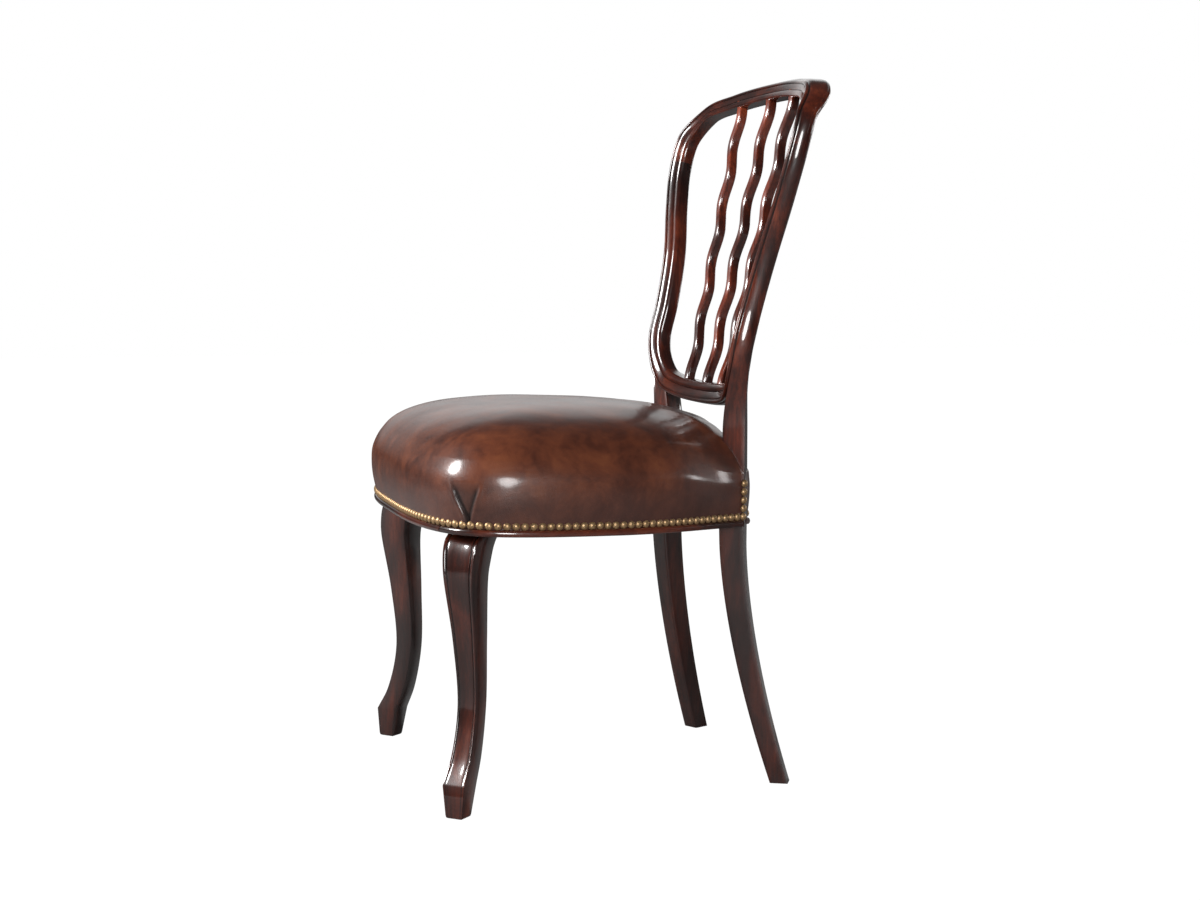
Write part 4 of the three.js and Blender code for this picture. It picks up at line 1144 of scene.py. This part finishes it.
def gathers(spot):
    """Folds that run forward from the back edge between the posts, with painted shade in their
    hollows.
    """
    reach = smoothstep(spot.y, *GATHER_FROM) * smoothstep(spot.z, *GATHER_UP)
    reach *= 1 - smoothstep(abs(spot.x), *GATHER_SIDES)
    wander = GATHER_WANDER[0] * math.sin(GATHER_WANDER[1] * spot.x)
    across = spot.x + wander + (spot.y - GATHER_BACK) * GATHER_LEAN
    wave = abs(math.sin(math.pi * across / GATHER_SPACING)) ** GATHER_SHARPNESS
    lift = GATHER_HEIGHT * reach * (wave - GATHER_MIDDLE)
    return lift, min(1, reach * max(0, 0.5 - wave) * GATHER_SHADE)


def cover_place(place, j, under=0.0):
    """The finished point of the leather, or of what lies under it, and how much painted shade its
    crease gets.
    """
    spot = cover_point(place, j)
    slope = profile_point(j + 1, place.free) - profile_point(j - 1, place.free)
    slope.normalize()
    face = place.way * slope.y + Vector((0, 0, -slope.x))
    lift, crease = gathers(spot)
    if not place.at_rear:
        tucked, dark = tuck(abs(place.far) - TUCK_PLACE, spot.z)
        lift, crease = lift + tucked, crease + dark
    lift += WAVER * noise.noise(spot * WAVER_FINENESS)
    return seat_tilt @ (spot + face * (lift - under)), crease


cover_skin = [[cover_place(place, j) for place in cover_line] for j in range(COVER_RINGS)]
cover_rings = [[spot for spot, crease in row] for row in cover_skin]
cover_marks = [[crease for spot, crease in row] for row in cover_skin]


def under_ring(places, j, under):
    """A ring at a depth under the face of the leather."""
    return [cover_place(place, j, under)[0] for place in places]


inside_steps = [*range(COVER_RINGS - 1, 0, -INSIDE_STEP), 0]
inside_rings = [under_ring(cover_line, j, LEATHER_THICKNESS) for j in inside_steps]
inside_marks = [[0.0] * len(cover_line)] * len(inside_rings)

LEATHER_STOPS = (
    (0.34, (0.0340, 0.0100, 0.0060)),
    (0.46, (0.0680, 0.0185, 0.0095)),
    (0.56, (0.1120, 0.0310, 0.0140)),
    (0.67, (0.1560, 0.0460, 0.0185)),
)
# Painted shade on the lower side of the cover, down to the nails.
PAINTED_HEM_SHADE_DARK = (0.024, 0.0095, 0.0075, 1)
PAINTED_HEM_SHADE_LIGHT = (0.080, 0.0310, 0.0225, 1)
PAINTED_HEM_SHADE_HEIGHTS = (0.492, 0.412)
# Painted shade in the creases.
CREASE_PAINTED_SHADE = (0.004, 0.0022, 0.002, 1)


def seat_leather(name):
    """Polished hide, antiqued: mottled red brown on the crown, with painted shade on the lower side
    round the nails.
    """
    finish = Finish(name)
    plain = finish.place((1, 1, 1))
    clouds = finish.noise(plain, 12.0, detail=4.0, roughness=0.6, distortion=0.5)
    blots = finish.noise(plain, 38.0, detail=4.0, roughness=0.6, distortion=0.4)
    colour = finish.ramp(clouds * 0.65 + blots * 0.35, LEATHER_STOPS)
    # Painted shade: the lower side of the cover, down to the nails, is darkened.
    painted_hem_shade = finish.clamp(finish.height() + clouds * 0.06, *PAINTED_HEM_SHADE_HEIGHTS) * 0.72
    colour = finish.mix(painted_hem_shade, colour, finish.mix(blots, PAINTED_HEM_SHADE_DARK, PAINTED_HEM_SHADE_LIGHT))
    # Painted shade in the creases of the tucks and the gathers.
    colour = finish.mix(finish.groove() * 0.9, colour, CREASE_PAINTED_SHADE)
    cells = {"Vector": plain, "Scale": 850.0, "Smoothness": 0.6}
    grain = finish.node("ShaderNodeTexVoronoi", {"feature": "SMOOTH_F1"}, cells)
    creases = finish.noise(plain, 240.0, detail=4.0, roughness=0.6)
    pebble = finish.bump(grain, 0.0004, 0.5)
    finish.surface({
        "Base Color": colour,
        "Roughness": blots * 0.14 + finish.groove() * 0.4 + 0.34,
        "Specular IOR Level": 0.28,
        "Coat Weight": (1 - finish.groove()) * 0.6,
        "Coat Roughness": 0.165,
        "Normal": finish.bump(creases, 0.0004, 0.4, pebble),
    })
    return finish


hide = seat_leather("seat_leather")
cover = skin(inside_rings + cover_rings, marks=inside_marks + cover_marks)
cover = piece("leather_seat", cover, hide, ["leather_cover"], COVER_CREASE)


# Stuffing: curled hair stitched to the hessian and covered in calico, crowned to the shape that the
# leather takes over it.
PAD_UNDER = 0.0024
PAD_BOTTOM = 0.0508
PAD_EDGE_UP = 0.002
PAD_FLOOR_SHARE = 0.985
PAD_STEP = 4
PAD_CREASE = 60
calico = woven("calico", (0.42, 0.36, 0.27), (0.72, 0.66, 0.55), threads=300.0)
pad_low = PAD_BOTTOM + PAD_EDGE_UP
pad_from = next(j for j in range(COVER_RINGS) if post_profile[j].y > pad_low)
pad_line = cover_line[::PAD_STEP]
pad_floor = []
for place in pad_line:
    spot = cover_point(place, pad_from) * PAD_FLOOR_SHARE
    pad_floor.append(seat_tilt @ Vector((spot.x, spot.y, PAD_BOTTOM)))
pad_steps = range(pad_from, COVER_RINGS, PAD_STEP)
pad_rings = [pad_floor] + [under_ring(pad_line, j, PAD_UNDER) for j in pad_steps]
pad = piece("hair_stuffing", skin(pad_rings), calico, ["seat_pad"], PAD_CREASE)


# Brass nails: domed heads with an antique lacquer, driven edge to edge along the leather's hem and
# up the posts beside it.
NAIL_PITCH = 0.0113
NAIL_RADIUS = 0.0055
NAIL_HEIGHT = 0.0042
NAIL_PROUD = 0.0010
NAIL_CUT = -0.05
# Old polish and painted shade round each nail's rim, where the domes meet the leather and each
# other.
NAIL_DIRT_AND_SHADE = 0.85
NAIL_DIRT_AND_SHADE_TOP = 0.24
NAILS_UP_POST = 4
POST_NAIL_PROUD = 0.0022
POST_NAIL_SHIFT = 0.0010
BRASS_STOPS = (
    (0.3, (0.240, 0.145, 0.068)),
    (0.6, (0.380, 0.245, 0.125)),
    (0.8, (0.500, 0.345, 0.195)),
)
BRASS_DIRT_AND_SHADE = (0.020, 0.010, 0.006, 1)

brass = Finish("antique_brass")
brass_clouds = brass.noise(brass.place((1, 1, 1)), 300.0, roughness=0.6)
brass_colour = brass.ramp(brass_clouds, BRASS_STOPS)
brass.surface({
    # The groove mark darkens each rim: old polish and painted shade.
    "Base Color": brass.mix(brass.groove(), brass_colour, BRASS_DIRT_AND_SHADE),
    "Metallic": 0.7,
    "Roughness": brass_clouds * 0.14 + 0.36,
})


def nail(mesh, place, facing):
    """Adds one domed head, its rim darkened with old polish and painted shade."""
    turn = facing.to_track_quat("Z", "Y").to_matrix().to_4x4()
    spot = Matrix.Translation(place) @ turn
    layer = mesh.verts.layers.float.get("groove")
    made = bmesh.ops.create_uvsphere(mesh, u_segments=14, v_segments=10, radius=1)["verts"]
    low = [vert for vert in made if vert.co.z < NAIL_CUT]
    kept = [vert for vert in made if vert not in low]
    for vert in kept:
        # Old polish and painted shade round the rim.
        vert[layer] = NAIL_DIRT_AND_SHADE * (1 - smoothstep(vert.co.z, 0.0, NAIL_DIRT_AND_SHADE_TOP))
    bmesh.ops.delete(mesh, geom=low, context="VERTS")
    bmesh.ops.scale(mesh, vec=(NAIL_RADIUS, NAIL_RADIUS, NAIL_HEIGHT), verts=kept)
    bmesh.ops.transform(mesh, matrix=spot, verts=kept)


nails = bmesh.new()
nails.verts.layers.float.new("groove")
seat_turn = seat_tilt.to_3x3()
for line in (side_line, rear_line):
    places = evenly(line, int(line_length(line) / NAIL_PITCH) + 1)
    ends = 1 if line is rear_line else 0
    for k in range(ends, len(places) - ends):
        way = outward(places, k)
        nail(nails, seat_tilt @ (places[k] + way * NAIL_PROUD), seat_turn @ way)
hem_end = side_line[-1]
end_way = outward(side_line, len(side_line) - 1)
for sign in (1, -1):
    way = Vector((end_way.x * sign, end_way.y, 0))
    forward = way.cross(Vector((0, 0, sign)))
    spot = Vector((hem_end.x * sign, hem_end.y, 0)) + forward * POST_NAIL_SHIFT
    for k in range(1, NAILS_UP_POST + 1):
        lifted = spot + Vector((0, 0, k * NAIL_PITCH)) + way * POST_NAIL_PROUD
        nail(nails, seat_tilt @ lifted, seat_turn @ way)
close_ends(nails)
piece("brass_nails", nails, brass)
